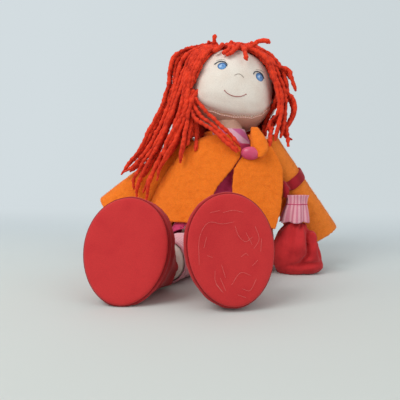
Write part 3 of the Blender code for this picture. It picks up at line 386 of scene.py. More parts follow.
def link_mesh(name: str, mesh: Mesh, finish: Cloth | Resin | None = None) -> Object:
    """Put a mesh in the scene as a smooth piece at the origin.

    Args:
        name: The piece's name.
        mesh: Its mesh, in the row frame.
        finish: Its finish, if the mesh has none.

    Returns:
        The new object.
    """
    if finish is not None:
        mesh.materials.clear()
        mesh.materials.append(WARDROBE.get(finish))
    mesh.shade_smooth()
    return add_object(name, mesh)


def grid_mesh(name: str, rows: Grid, closed: bool, caps: bool = False,
              poles: tuple[Vector | None, Vector | None] = (None, None)) -> Mesh:
    """Skin rows of points, with a UV map along and across them.

    Args:
        name: The mesh's name.
        rows: Rows of equal length.
        closed: Whether each row closes on itself.
        caps: Whether the first and last row are filled.
        poles: Points that the first and last row are drawn to.

    Returns:
        The mesh, facing outwards.
    """
    width = len(rows[0])
    points = [point for row in rows for point in row]
    faces = []
    for r in range(len(rows) - 1):
        for c in range(width if closed else width - 1):
            d = (c + 1) % width
            faces.append((r * width + c, r * width + d, (r + 1) * width + d, (r + 1) * width + c))
    for pole, base in ((poles[0], 0), (poles[1], (len(rows) - 1) * width)):
        if pole is not None:
            points.append(pole)
            faces += [(base + c, base + (c + 1) % width, len(points) - 1) for c in range(width)]
        elif caps:
            faces.append(tuple(range(base, base + width)))
    mesh = bpy.data.meshes.new(name)
    mesh.from_pydata([tuple(p) for p in points], [], faces)
    layer = mesh.uv_layers.new(name="UVMap")
    for face in mesh.polygons:
        columns = [mesh.loops[i].vertex_index % width for i in face.loop_indices]
        wrap = closed and max(columns) - min(columns) > width // 2
        for i, column in zip(face.loop_indices, columns):
            row = min(mesh.loops[i].vertex_index // width, len(rows) - 1)
            column = column + width if wrap and column < width // 2 else column
            layer.data[i].uv = (column / width, row / max(1, len(rows) - 1))
    return face_outwards(mesh)


def face_outwards(mesh: Mesh) -> Mesh:
    """Merge doubles, then point the faces outwards.

    Args:
        mesh: The mesh to mend.

    Returns:
        The same mesh.
    """
    edit = bmesh.new()
    edit.from_mesh(mesh)
    bmesh.ops.remove_doubles(edit, verts=edit.verts, dist=1e-6)
    bmesh.ops.recalc_face_normals(edit, faces=edit.faces)
    edit.to_mesh(mesh)
    edit.free()
    return mesh


def sheet_mesh(name: str, outer: Grid, inner: Grid, closed: bool) -> Mesh:
    """Close two matching grids into one piece of cloth with rounded free edges.

    Args:
        name: The mesh's name.
        outer: The outer face's rows.
        inner: The inner face's rows.
        closed: Whether each row closes on itself.

    Returns:
        A closed mesh with a UV map.
    """
    rows = [list(row) for row in outer] + [list(row) for row in reversed(inner)]
    rows.append(list(outer[0]))
    if closed:
        return grid_mesh(name, rows, True)
    mesh = grid_mesh(name, rows, False)
    edit = bmesh.new()
    edit.from_mesh(mesh)
    edges = [e for e in edit.edges if e.is_boundary]
    side = len(outer[0])
    bmesh.ops.holes_fill(edit, edges=edges, sides=4 * (len(rows) + side))
    bmesh.ops.triangulate(edit, faces=[f for f in edit.faces if len(f.verts) > 4])
    bmesh.ops.recalc_face_normals(edit, faces=edit.faces)
    edit.to_mesh(mesh)
    edit.free()
    return mesh


def evaluated(piece: Object) -> Mesh:
    """Give the piece's mesh with its modifiers applied, and delete the piece.

    Args:
        piece: The piece, which is used up.

    Returns:
        A plain mesh.
    """
    graph = bpy.context.evaluated_depsgraph_get()
    mesh = bpy.data.meshes.new_from_object(piece.evaluated_get(graph))
    bpy.data.objects.remove(piece, do_unlink=True)
    return mesh


def soft_copy(node: str, voxel: float, smooth: int = 4) -> Object:
    """Copy a CAD solid as one fine, softly rounded mesh.

    Args:
        node: The CAD node.
        voxel: Size of the new mesh's cells, in metres.
        smooth: Rounds of smoothing.

    Returns:
        A temporary object with plain geometry.
    """
    mesh = face_outwards(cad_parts[node].data.copy())
    mesh.materials.clear()
    piece = add_object(f"{node}_form", mesh)
    remesh = piece.modifiers.new("remesh", "REMESH")
    remesh.mode = "VOXEL"
    remesh.voxel_size = voxel
    relax = piece.modifiers.new("relax", "SMOOTH")
    relax.factor = 0.5
    relax.iterations = smooth
    return add_object(f"{node}_form", evaluated(piece))


def sculpt(mesh: Mesh, height: Height) -> Mesh:
    """Move each point along its normal.

    Args:
        mesh: The mesh to shape.
        height: Gives the distance from a point and its normal, in metres.

    Returns:
        The same mesh.
    """
    normals = [v.normal.copy() for v in mesh.vertices]
    for vertex, normal in zip(mesh.vertices, normals):
        vertex.co += normal * height(vertex.co.copy(), normal)
    mesh.update()
    return mesh


def ripple(place: Vector, size: float, seed: float = 0.0) -> float:
    """Smooth noise from -1 to 1 whose bumps are about this size, in metres."""
    return noise.noise(Vector(place) / size + Vector((seed, seed * 1.7, seed * 2.3)))


def crease(place: Vector, start: Point, end: Point, width: float) -> float:
    """How deep a crease is at a place, deepest in its middle.

    Args:
        place: The place.
        start: Where the crease begins.
        end: Where it ends.
        width: Its half width, in metres.

    Returns:
        From 0 to 1.
    """
    a, b = Vector(start), Vector(end)
    along = b - a
    t = clamp((Vector(place) - a).dot(along) / along.length_squared)
    gap = (Vector(place) - a - along * t).length
    return exp(-(gap / width) ** 2) * sin(pi * (0.12 + 0.76 * t))


def inflate(piece: Object, pressure: float, cap: float) -> Object:
    """Swell a closed pad by a short cloth simulation, with its movement capped.

    Args:
        piece: The pad.
        pressure: Air pressure of the filling.
        cap: The most that a point may move, in metres.

    Returns:
        The same pad with plain geometry.
    """
    start = [v.co.copy() for v in piece.data.vertices]
    cloth = piece.modifiers.new("filling", "CLOTH")
    cloth.settings.use_pressure = True
    cloth.settings.uniform_pressure_force = pressure
    cloth.settings.effector_weights.gravity = 0.0
    cloth.settings.quality = 4
    scene = bpy.context.scene
    for step in range(1, FILL_FRAMES + 1):
        scene.frame_set(step)
    graph = bpy.context.evaluated_depsgraph_get()
    swollen = bpy.data.meshes.new_from_object(piece.evaluated_get(graph))
    for vertex, first, last in zip(piece.data.vertices, start, swollen.vertices):
        move = last.co - first
        vertex.co = first + move * min(1.0, cap / max(move.length, 1e-9))
    piece.modifiers.remove(cloth)
    bpy.data.meshes.remove(swollen)
    scene.frame_set(1)
    return piece


def smooth_path(places: Sequence[Sequence[float]], steps: int) -> list[list[float]]:
    """Rows of numbers on a Catmull-Rom curve through the given rows.

    Args:
        places: The rows to pass through.
        steps: Rows from each given row to the next.

    Returns:
        The finer rows.
    """
    knots = [list(p) for p in places]
    first = [2 * a - b for a, b in zip(knots[0], knots[1])]
    last = [2 * a - b for a, b in zip(knots[-1], knots[-2])]
    knots = [first, *knots, last]
    path = []
    for k in range(1, len(knots) - 2):
        for step in range(steps):
            t = step / steps
            path.append([0.5 * (2 * b + (c - a) * t + (2 * a - 5 * b + 4 * c - d) * t * t
                                + (3 * b - a - 3 * c + d) * t ** 3)
                         for a, b, c, d in zip(*knots[k - 1:k + 3])])
    path.append(knots[-2])
    return path


def read_share(levels: Row, values: Row, level: float) -> float:
    """Read a table between its rows.

    Args:
        levels: Rising levels.
        values: The value at each.
        level: The level to read at.

    Returns:
        The value there.
    """
    if level <= levels[0]:
        return values[0]
    for low, high, a, b in zip(levels, levels[1:], values, values[1:]):
        if level <= high:
            t = (level - low) / (high - low)
            return a + (b - a) * t
    return values[-1]


# Geometry node trees

class Recipe:
    """A geometry node tree with named inputs, which makes one kind of repeated detail."""

    def __init__(self, name: str, numbers: Sequence[str], counts: Sequence[str] = ()) -> None:
        """Start a tree, whose last input is its material.

        Args:
            name: The tree's name.
            numbers: Its inputs that take any number.
            counts: Its inputs that take a whole number.
        """
        self.tree = bpy.data.node_groups.new(name, "GeometryNodeTree")
        face = self.tree.interface
        face.new_socket("Geometry", in_out="INPUT", socket_type="NodeSocketGeometry")
        face.new_socket("Geometry", in_out="OUTPUT", socket_type="NodeSocketGeometry")
        kinds = {label: "NodeSocketFloat" for label in numbers}
        kinds |= {label: "NodeSocketInt" for label in counts} | {"Material": "NodeSocketMaterial"}
        self.keys = {label: face.new_socket(label, in_out="INPUT", socket_type=kind).identifier
                     for label, kind in kinds.items()}
        self.start = self.tree.nodes.new("NodeGroupInput")
        self.build()

    def build(self) -> None:
        """Fill the tree; each kind of detail has its own."""
        raise NotImplementedError

    def add(self, kind: str, settings: dict | None = None, links: dict | None = None) -> Node:
        """Add a node to this tree."""
        return add_node(self.tree, kind, settings, links)

    def close(self, geometry: NodeSocket) -> None:
        """End the tree: real geometry, its material, the output.

        Args:
            geometry: The detail's geometry.
        """
        real = self.add("GeometryNodeRealizeInstances", links={"Geometry": geometry})
        dress = self.add("GeometryNodeSetMaterial",
                         links={"Geometry": real.outputs[0], "Material": self.start.outputs["Material"]})
        end = self.tree.nodes.new("NodeGroupOutput")
        self.tree.links.new(dress.outputs[0], end.inputs[0])

    def apply(self, name: str, base: Object, finish: Cloth, **values: float) -> Object:
        """Run the tree on a base object and keep the result as a plain piece.

        Args:
            name: The piece's name.
            base: The curve or mesh to work on, which is used up.
            finish: The finish to set.
            values: The tree's other inputs, by name.

        Returns:
            The finished piece.
        """
        modifier = base.modifiers.new(name, "NODES")
        modifier.node_group = self.tree
        modifier[self.keys["Material"]] = WARDROBE.get(finish)
        for label, value in values.items():
            modifier[self.keys[label]] = value
        return link_mesh(name, evaluated(base))


class YarnRecipe(Recipe):
    """Sweeps a lumpy, twisted yarn along each path."""

    # Sizes of the yarn's drift, its lumps and its pile, in metres
    drift_size: float = 0.017
    lump_size: float = 0.008
    pile_size: float = 0.0016

    def __init__(self) -> None:
        """Name the yarn's inputs."""
        super().__init__("yarn", ("Radius", "Step", "Twist", "Lump", "Wander", "Pile", "Flatten"))

    def build(self) -> None:
        """Resample, wander, twist, swell and skin the paths."""
        into = self.start.outputs
        fine = self.add("GeometryNodeResampleCurve", {"mode": "LENGTH"},
                        {"Curve": into["Geometry"], "Length": into["Step"]})
        spline = self.add("GeometryNodeSplineParameter")
        drift = self.add("TexNoise", {"Scale": 1 / self.drift_size, "Detail": 1.5})
        centred = self.add(
            "VectorMath", {"operation": "SUBTRACT", 1: (0.5, 0.5, 0.5)}, {0: drift.outputs["Color"]})
        scaled = self.add(
            "VectorMath", {"operation": "SCALE"}, {0: centred.outputs[0], "Scale": into["Wander"]})
        moved = self.add(
            "GeometryNodeSetPosition", links={"Geometry": fine.outputs[0], "Offset": scaled.outputs[0]})
        turn = self.add("Math", {"operation": "MULTIPLY"}, {0: spline.outputs["Length"], 1: into["Twist"]})
        tilted = self.add("GeometryNodeSetCurveTilt",
                          links={"Curve": moved.outputs[0], "Tilt": turn.outputs[0]})
        lumps = self.add("TexNoise", {"Scale": 1 / self.lump_size, "Detail": 2.0})
        plies = self.add("Math", {"operation": "MULTIPLY", 1: 2.0}, {0: turn.outputs[0]})
        wave = self.add("Math", {"operation": "SINE"}, {0: plies.outputs[0]})
        share = self.add("Math", {"operation": "MULTIPLY", 1: 0.07}, {0: wave.outputs[0]})
        share = self.add("Math", {"operation": "ADD"}, {0: share.outputs[0], 1: lumps.outputs[0]})
        # The lump value sets the yarn's thickness and, in its material, the painted shade where it thins
        kept = self.add(
            "GeometryNodeStoreNamedAttribute", {"data_type": "FLOAT", "domain": "POINT", "Name": "lump"},
            {"Geometry": tilted.outputs[0], "Value": share.outputs[0]})
        swell = self.add("Math", {"operation": "SUBTRACT", 1: 0.5}, {0: share.outputs[0]})
        swell = self.add("Math", {"operation": "MULTIPLY"}, {0: swell.outputs[0], 1: into["Lump"]})
        swell = self.add("Math", {"operation": "ADD", 1: 1.0}, {0: swell.outputs[0]})
        tail = self.add("Math", {"operation": "SUBTRACT", 0: 1.0}, {1: spline.outputs["Factor"]})
        for operation, number in (("MULTIPLY", 9.0), ("ADD", 0.45), ("MINIMUM", 1.0)):
            tail = self.add("Math", {"operation": operation, 1: number}, {0: tail.outputs[0]})
        size = self.add("Math", {"operation": "MULTIPLY"}, {0: swell.outputs[0], 1: tail.outputs[0]})
        size = self.add("Math", {"operation": "MULTIPLY"}, {0: size.outputs[0], 1: into["Radius"]})
        circle = self.add("GeometryNodeCurvePrimitiveCircle", {"Resolution": 9, "Radius": 1.0})
        squeeze = self.add("CombineXYZ", {0: 1.0, 2: 1.0}, {1: into["Flatten"]})
        oval = self.add(
            "GeometryNodeTransform", links={"Geometry": circle.outputs[0], "Scale": squeeze.outputs[0]})
        skin = self.add("GeometryNodeCurveToMesh", {"Fill Caps": True},
                        {"Curve": kept.outputs[0], "Profile Curve": oval.outputs[0],
                         "Scale": size.outputs[0]})
        pile = self.add("TexNoise", {"Scale": 1 / self.pile_size, "Detail": 2.0})
        rise = self.add("Math", {"operation": "SUBTRACT", 1: 0.5}, {0: pile.outputs[0]})
        rise = self.add("Math", {"operation": "MULTIPLY"}, {0: rise.outputs[0], 1: into["Pile"]})
        normal = self.add("GeometryNodeInputNormal")
        push = self.add(
            "VectorMath", {"operation": "SCALE"}, {0: normal.outputs[0], "Scale": rise.outputs[0]})
        rough = self.add(
            "GeometryNodeSetPosition", links={"Geometry": skin.outputs[0], "Offset": push.outputs[0]})
        self.close(rough.outputs[0])


class NapRecipe(Recipe):
    """Stands short tapered fibres on a surface."""

    def __init__(self) -> None:
        """Name the nap's inputs."""
        super().__init__("nap", ("Density", "Length", "Thickness"), ("Seed",))

    def build(self) -> None:
        """Scatter, lean and scale the fibres."""
        into = self.start.outputs
        spots = self.add("GeometryNodeDistributePointsOnFaces",
                         links={"Mesh": into["Geometry"], "Density": into["Density"], "Seed": into["Seed"]})
        lean = self.add("FunctionNodeRandomValue", {"data_type": "FLOAT_VECTOR", 0: (-1.25, -1.25, -3.1),
                                                    1: (1.25, 1.25, 3.1)}, {"Seed": into["Seed"]})
        bend = self.add("FunctionNodeEulerToRotation", links={0: lean.outputs[0]})
        turned = self.add("FunctionNodeRotateRotation", {"rotation_space": "LOCAL"},
                          {0: spots.outputs["Rotation"], 1: bend.outputs[0]})
        fibre = self.add("GeometryNodeMeshCone", {"Vertices": 3, "Side Segments": 1, "Radius Top": 0.00002},
                         {"Radius Bottom": into["Thickness"], "Depth": into["Length"]})
        size = self.add("FunctionNodeRandomValue", {"data_type": "FLOAT", 2: 0.5, 3: 1.1})
        placed = self.add("GeometryNodeInstanceOnPoints",
                          links={"Points": spots.outputs["Points"], "Instance": fibre.outputs[0],
                                 "Rotation": turned.outputs[0], "Scale": size.outputs[1]})
        self.close(placed.outputs[0])


class StitchRecipe(Recipe):
    """Lays short thread stitches end to end along a path."""

    def __init__(self) -> None:
        """Name the stitch's inputs."""
        super().__init__("stitches", ("Pitch", "Length", "Thickness"))

    def build(self) -> None:
        """Place a rounded stitch at each step, along the path."""
        into = self.start.outputs
        spots = self.add("GeometryNodeCurveToPoints", {"mode": "LENGTH"},
                         {"Curve": into["Geometry"], "Length": into["Pitch"]})
        ball = self.add("GeometryNodeMeshIcoSphere", {"Radius": 0.5, "Subdivisions": 2})
        size = self.add("CombineXYZ", links={0: into["Thickness"], 1: into["Thickness"], 2: into["Length"]})
        placed = self.add("GeometryNodeInstanceOnPoints",
                          links={"Points": spots.outputs["Points"], "Instance": ball.outputs[0],
                                 "Rotation": spots.outputs["Rotation"], "Scale": size.outputs[0]})
        self.close(placed.outputs[0])


def path_object(name: str, paths: Paths) -> Object:
    """Make one curve object that holds every path.

    Args:
        name: The object's name.
        paths: Each path's points, in the row frame.

    Returns:
        The curve object.
    """
    curve = bpy.data.curves.new(name, "CURVE")
    curve.dimensions = "3D"
    for path in paths:
        spline = curve.splines.new("POLY")
        spline.points.add(len(path) - 1)
        for point, place in zip(spline.points, path):
            point.co = (*place, 1.0)
    return add_object(name, curve)


class Workshop:
    """The three recipes, shared by every sub-assembly."""

    def __init__(self) -> None:
        """Build each tree once."""
        self.yarn = YarnRecipe()
        self.nap = NapRecipe()
        self.stitches = StitchRecipe()

    def thread(self, name: str, paths: Paths, radius: float, finish: Cloth,
               flatten: float = 1.0, wander: float = 0.0) -> Object:
        """Lay a plain thread or tape along each path.

        Args:
            name: The piece's name.
            paths: Each path's points.
            radius: The thread's radius.
            finish: The thread.
            flatten: Its thickness as a share of its width.
            wander: How far it strays from the path.

        Returns:
            The finished piece.
        """
        return self.yarn.apply(
            name, path_object(name, paths), finish, Radius=radius, Step=max(radius * 1.2, 0.0004),
            Twist=0.0, Lump=0.06, Wander=wander, Pile=radius * 0.1, Flatten=flatten)

    def fuzz(self, name: str, body: Object, finish: Cloth, count: int, seed: int,
             length: float = 0.0015) -> Object:
        """Stand nap fibres all over a finished piece.

        Args:
            name: The fibres' name.
            body: The piece.
            finish: The fibres' finish.
            count: How many fibres.
            seed: Seed of the scatter.
            length: Length of a fibre.

        Returns:
            The fibres as one piece.
        """
        area = sum(face.area for face in body.data.polygons)
        base = add_object(f"{name}_base", body.data.copy())
        return self.nap.apply(
            name, base, finish, Density=count / area, Length=length, Thickness=FIBRE, Seed=seed)


# Head and face

# The chin seam: how far across the face, and its height from the head's middle
CHIN_SEAM = ((-0.046, -0.0346, -0.0247, -0.0092, 0.0059, 0.0248, 0.036, 0.0408, 0.046),
             (-0.03, -0.0372, -0.0413, -0.0433, -0.0428, -0.0393, -0.0322, -0.0245, -0.014))


@dataclass
class Head:
    """The stuffed head, ears, neck and the embroidered face."""

    workshop: Workshop
    centre: Point = (0.0167, 0.0124, 0.21)
    half_width: float = 0.049
    half_depth: float = 0.042
    half_height: float = 0.0475
    turn: float = radians(16.5)
    tilt: float = radians(13.1)
    roll: float = radians(13.3)
    # How much squarer the head gets towards its base, and how far below its middle in full
    jowl_power: float = 0.7
    jowl_start: float = 0.5
    # How far back the chin seam runs
    seam_end: float = 0.006

    @property
    def rotation(self) -> Matrix:
        """How the head is held at rest."""
        return held(self.turn, self.tilt, self.roll)

    def local(self, place: Vector) -> Vector:
        """A place of the row frame, in the head's own frame."""
        return self.rotation.transposed() @ (place - Vector(self.centre))

    def bulge(self, unit: Vector) -> float:
        """How far the head bulges past an ellipsoid in a direction, most towards its base."""
        power = 2 + self.jowl_power * clamp(-unit.z / self.jowl_start)
        return sum(abs(part) ** power for part in unit) ** (-1 / power)

    def around(self, direction: Point, lift: float = 0.0) -> Vector:
        """The head's surface in a direction.

        Args:
            direction: The direction, in the head's own frame.
            lift: Height above the skin.

        Returns:
            The point in the row frame.
        """
        unit = Vector(direction).normalized()
        swell = self.bulge(unit)
        place = Vector((unit.x * (self.half_width + lift), unit.y * (self.half_depth + lift),
                        unit.z * (self.half_height + lift)))
        return Vector(self.centre) + self.rotation @ (place * swell)

    def skin(self, across: float, up: float, lift: float = 0.0) -> Vector:
        """A point on the face.

        Args:
            across: Metres to the doll's left of the face's middle.
            up: Metres above the middle.
            lift: Height above the skin.

        Returns:
            The point in the row frame.
        """
        near, far = 0.0, 1.4
        for _ in range(30):
            middle = (near + far) / 2
            share = Vector((across / self.half_width, -middle, up / self.half_height))
            inside = share.length < self.bulge(share.normalized())
            near, far = (middle, far) if inside else (near, middle)
        return self.around((across / self.half_width, -near, up / self.half_height), lift)

    def seam_gap(self, place: Vector) -> float:
        """Height above the chin seam.

        Args:
            place: A place on the head.

        Returns:
            The height, or a metre where there is no seam.
        """
        local = self.local(place)
        if local.y > self.seam_end or local.z > 0.0:
            return 1.0
        return local.z - self.seam_height(local.x)

    def seam_depth(self, place: Vector) -> float:
        """The chin seam's groove, and the small swell on each side of it."""
        gap = abs(self.seam_gap(place))
        return 0.0006 * exp(-((gap - 0.004) / 0.003) ** 2) - 0.0013 * exp(-(gap / 0.0008) ** 2)

    def seam_height(self, across: float) -> float:
        """Height of the chin seam from the head's middle, which is below it and so negative."""
        return read_share(*CHIN_SEAM, across)

    def build(self) -> None:
        """Build and dress every piece of the head."""
        self.build_skin()
        self.build_ears_and_neck()
        self.build_eyes()
        self.build_features()

    def build_skin(self) -> None:
        """The jersey ball with its chin seam, gusset in painted shade, and topstitching."""
        levels, columns = 110, 180
        rows = []
        for level in range(1, levels):
            polar = pi * level / levels
            rows.append([self.around((sin(polar) * cos(a), sin(polar) * sin(a), -cos(polar)))
                         for a in turns(columns)])
        mesh = grid_mesh("head_skin", rows, True, poles=(self.around((0, 0, -1)), self.around((0, 0, 1))))
        mesh.materials.append(WARDROBE.get(SKIN))
        mesh.materials.append(WARDROBE.get(JERSEY_PAINTED_SHADE))
        # Faces below the chin seam take the painted shade jersey
        for face in mesh.polygons:
            face.material_index = int(self.seam_gap(face.center) < -0.0002)
        sculpt(mesh, lambda p, n: (self.seam_depth(p) + 0.0003 * ripple(p, 0.018)
                                   + 0.00006 * ripple(p, 0.004)))
        head = link_mesh("head_skin", mesh)
        dress(head, "head", "skin_jersey", ["head"], fill=0.95)
        places = [-0.036 + 0.076 * step / 60 for step in range(61)]
        path = [self.skin(x, self.seam_height(x) - 0.001, 0.0003) for x in places]
        stitches = self.workshop.stitches.apply("chin_topstitch", path_object("chin_path", [path]),
                                                FLOSS_PINK, Pitch=0.0026, Length=0.0024, Thickness=0.0012)
        dress(stitches, "head", "skin_jersey")

    def build_ears_and_neck(self) -> None:
        """Two soft ear tabs and the cloth neck."""
        for side in Side:
            form = soft_copy(f"ear_{side}", 0.0007, 6)
            sculpt(form.data, lambda p, n: 0.0003 * ripple(p, 0.006))
            ear = link_mesh(f"ear_{side}_pad", evaluated(form), SKIN)
            dress(ear, "head", "skin_jersey", [f"ear_{side}"], fill=0.6)
        form = soft_copy("neck", 0.0009, 4)
        sculpt(form.data, lambda p, n: 0.0006 * ripple(Vector((p.x, p.y, p.z * 2.2)), 0.008, 4.0))
        # The neck takes the painted shade jersey
        neck = link_mesh("neck_cloth", evaluated(form), JERSEY_PAINTED_SHADE)
        neck = dress(neck, None, "skin_jersey", ["neck"], fill=0.8)
        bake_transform(neck)

    def disc(self, name: str, centre: Point, sizes: Point, lift: float, finish: Cloth,
             lean: float = 0.0) -> None:
        """A patch of satin stitch that follows the face.

        Args:
            name: The patch's name.
            centre: Its middle, across and up the face.
            sizes: Its half width and half height.
            lift: How far its middle stands up.
            finish: The thread.
            lean: Turn of the patch in the face, in radians.
        """
        rows = []
        for ring in range(1, 7):
            share = ring / 6
            rise = lift * (1 - 0.8 * share ** 3)
            row = []
            for a in turns(40):
                x = sizes[0] * share * cos(a)
                z = sizes[1] * share * sin(a)
                row.append(self.skin(centre[0] + x * cos(lean) - z * sin(lean),
                                     centre[1] + x * sin(lean) + z * cos(lean), rise))
            rows.append(row)
        rows.append([self.around_skin(point, -0.0003) for point in rows[-1]])
        mesh = grid_mesh(name, rows, True, poles=(self.skin(centre[0], centre[1], lift),
                                                  self.skin(centre[0], centre[1], -0.0003)))
        dress(link_mesh(name, mesh, finish), "head", "skin_jersey")

    def around_skin(self, place: Vector, lift: float) -> Vector:
        """Drop a point onto the head's skin.

        Args:
            place: The point in the row frame.
            lift: Height above the skin.

        Returns:
            The point below it, in the row frame.
        """
        local = self.local(place)
        return self.around(
            (local.x / self.half_width, local.y / self.half_depth, local.z / self.half_height), lift)

    def build_eyes(self) -> None:
        """Rim, iris, pupil, lights and lash of each eye."""
        eyes = {Side.RIGHT: ((-0.0209, 0.0049), (0.0048, 0.0046), 0.1,
                             ((-0.029, 0.0064), (-0.0265, 0.0092), (-0.0229, 0.0108), (-0.019, 0.0101),
                              (-0.0163, 0.0076), (-0.0156, 0.0046))),
                Side.LEFT: ((0.0231, 0.0038), (0.0051, 0.0049), -0.5,
                            ((0.0149, 0.0034), (0.0156, 0.0062), (0.0182, 0.0085), (0.0222, 0.0094),
                             (0.0262, 0.0079), (0.0286, 0.0044)))}
        for side, ((x, z), (wide, high), lean, lash) in eyes.items():
            discs = (("rim", 0.0, 0.0, wide, high, 0.00035, FLOSS_DEEP),
                     ("iris", 0.0002, -0.0006, wide - 0.0007, high - 0.0008, 0.00055, FLOSS_BLUE),
                     ("glow", -0.0008, -0.0008, 0.0026, 0.0021, 0.00066, FLOSS_PALE),
                     ("ring", 0.0004, -0.0004, 0.0021, 0.0019, 0.00076, FLOSS_BLUE),
                     ("pupil", 0.0009, -0.0001, 0.001, 0.0009, 0.00084, FLOSS_DEEP),
                     ("spark", -0.0007, 0.0006, 0.0009, 0.0007, 0.00094, FLOSS_LIGHT))
            for part, across, up, half_width, half_height, lift, finish in discs:
                self.disc(f"eye_{side}_{part}", (x + across, z + up), (half_width, half_height),
                          lift, finish, lean)
            path = [self.skin(a, c, 0.0005) for a, c in smooth_path(lash, 4)]
            thread = self.workshop.thread(f"eye_{side}_lash", [path], 0.00055, FLOSS_LASH)
            dress(thread, "head", "skin_jersey")

    def build_features(self) -> None:
        """Brows, nose and mouth in running thread."""
        brows = (((-0.0279, 0.0118), (-0.0252, 0.0131), (-0.0216, 0.0137), (-0.018, 0.0128)),
                 ((0.0172, 0.0109), (0.021, 0.0124), (0.0248, 0.0132), (0.028, 0.0128)))
        self.embroider("brows", brows, 0.00022, FLOSS_TAN)
        nose = (((-0.0059, -0.0049), (-0.0037, -0.003), (-0.001, -0.0019), (0.0019, -0.0027),
                 (0.0049, -0.0048)),)
        self.embroider("nose", nose, 0.0003, FLOSS_GREY)
        mouth = (((-0.0128, -0.0238), (-0.009, -0.026), (-0.0036, -0.0271), (0.0019, -0.0268),
                  (0.0066, -0.0252), (0.0109, -0.0221)),)
        self.embroider("mouth", mouth, 0.0004, FLOSS_ROSE)
        for side, place in ((Side.RIGHT, (-0.0129, -0.0237)), (Side.LEFT, (0.011, -0.022))):
            self.disc(f"mouth_{side}_knot", place, (0.0007, 0.0007), 0.0005, FLOSS_ROSE)

    def embroider(self, name: str, lines: Paths, radius: float, finish: Cloth) -> None:
        """Sew smooth thread lines on the face.

        Args:
            name: The piece's name.
            lines: Each line's points, across and up the face.
            radius: The thread's radius.
            finish: The thread.
        """
        paths = [[self.skin(a, c, 0.0002) for a, c in smooth_path(line, 6)] for line in lines]
        dress(self.workshop.thread(name, paths, radius, finish), "head", "skin_jersey")


@dataclass(frozen=True)
class Cut:
    """How a sheet of cloth was cut flat, and what holds it now.

    Attributes:
        width: Flat width, in metres.
        length: Flat length, in metres.
        held: How it is held.
        rests_on: CAD nodes that it lies on.
        area: Cut area in square metres, where it isn't a rectangle.
    """

    width: float
    length: float
    held: str
    rests_on: tuple[str, ...]
    area: float | None = None


def dress(piece: Object, body: str | None, slot: str, stands_for: Sequence[str] = (),
          fill: float | None = None) -> Object:
    """Give a finished piece its body, and hide the CAD nodes that it stands for.

    Args:
        piece: The piece.
        body: The body it rides, or None where it is left unattached.
        slot: The record's material slot; not used.
        stands_for: CAD nodes that it replaces.
        fill: How tight its filling is, where it is padded; not used.

    Returns:
        The same piece.
    """
    if body is not None:
        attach(piece, body)
    if stands_for:
        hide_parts(*stands_for)
    LOG.info("%s: %d faces", piece.name, len(piece.data.polygons))
    return piece


@dataclass
class Stuffed:
    """Stuffed and sewn pieces whose forms follow the CAD solids."""

    workshop: Workshop
    # Cell sizes of fleece, of thin knit and of a pad before it swells
    voxel: float = 0.0011
    knit_voxel: float = 0.0008
    pad_voxel: float = 0.0022
    pressure: float = 4.0

    def pad(self, node: str, finish: Cloth, shape: Height, cap: float, voxel: float | None = None) -> Object:
        """Swell a coarse copy of a CAD solid as a filled pad, then shape it finely.

        Args:
            node: The CAD node.
            finish: The cloth.
            shape: Height over the swollen surface at a point and normal.
            cap: The most that the filling may push the cloth.
            voxel: Cell size of a piece with a thin rim, which is then fine enough as it is.

        Returns:
            The piece, not yet on a body.
        """
        form = soft_copy(node, voxel or self.pad_voxel, 3)
        sculpt(form.data, lambda p, n: -0.5 * cap)
        inflate(form, self.pressure, cap)
        if voxel is None:
            finer = form.modifiers.new("finer", "SUBSURF")
            finer.levels = finer.render_levels = 1
        mesh = evaluated(form)
        sculpt(mesh, shape)
        return link_mesh(f"{node}_pad", mesh, finish)

    def form(self, node: str, finish: Cloth, shape: Height,
             voxel: float | None = None, smooth: int = 4) -> Object:
        """Copy a CAD solid finely and shape its surface.

        Args:
            node: The CAD node.
            finish: The cloth.
            shape: Height over the surface at a point and normal.
            voxel: Cell size, where it isn't the sub-assembly's own.
            smooth: Rounds of smoothing.

        Returns:
            The piece, not yet on a body.
        """
        form = soft_copy(node, voxel or self.voxel, smooth)
        sculpt(form.data, shape)
        return link_mesh(f"{node}_cloth", evaluated(form), finish)


@dataclass
class Body(Stuffed):
    """Torso, arms and legs of the doll, under its clothes."""

    def build(self) -> None:
        """Build the stuffed pieces."""
        torso = self.form("torso", SKIN, lambda p, n: 0.0005 * ripple(p, 0.02), 0.002)
        dress(torso, "torso", "skin_jersey", ["torso"], fill=0.9)
        for side in Side:
            self.build_arm(side)
            self.build_leg(side)

    def build_arm(self, side: Side) -> None:
        """One stuffed arm with its mitten hand.

        Args:
            side: Which arm.
        """
        node = f"arm_{side}"
        arm = self.pad(node, SKIN, lambda p, n: 0.0004 * ripple(p, 0.012, 2.0), 0.0008)
        dress(arm, node, "skin_jersey", [node], fill=0.8)

    def build_leg(self, side: Side) -> None:
        """One stuffed leg and its legging.

        Args:
            side: Which leg.
        """
        node = f"leg_{side}"
        leg = self.form(node, SKIN, lambda p, n: 0.00015 * ripple(p, 0.014, 3.0) - 0.0009, 0.0012)
        dress(leg, node, "skin_jersey", [node], fill=0.85)
        legging = f"legging_{side}"
        tube = self.form(legging, LEGGING, self.slack, self.knit_voxel, 2)
        unwrap(tube.data, lambda p: (p.y, p.x), 0.0042)
        dress(tube, node, "striped_jersey", [legging])

    def slack(self, place: Vector, normal: Vector) -> float:
        """Small folds along a legging."""
        return 0.0003 + 0.0003 * ripple(Vector((place.x * 1.6, place.y * 0.5, place.z)), 0.008)


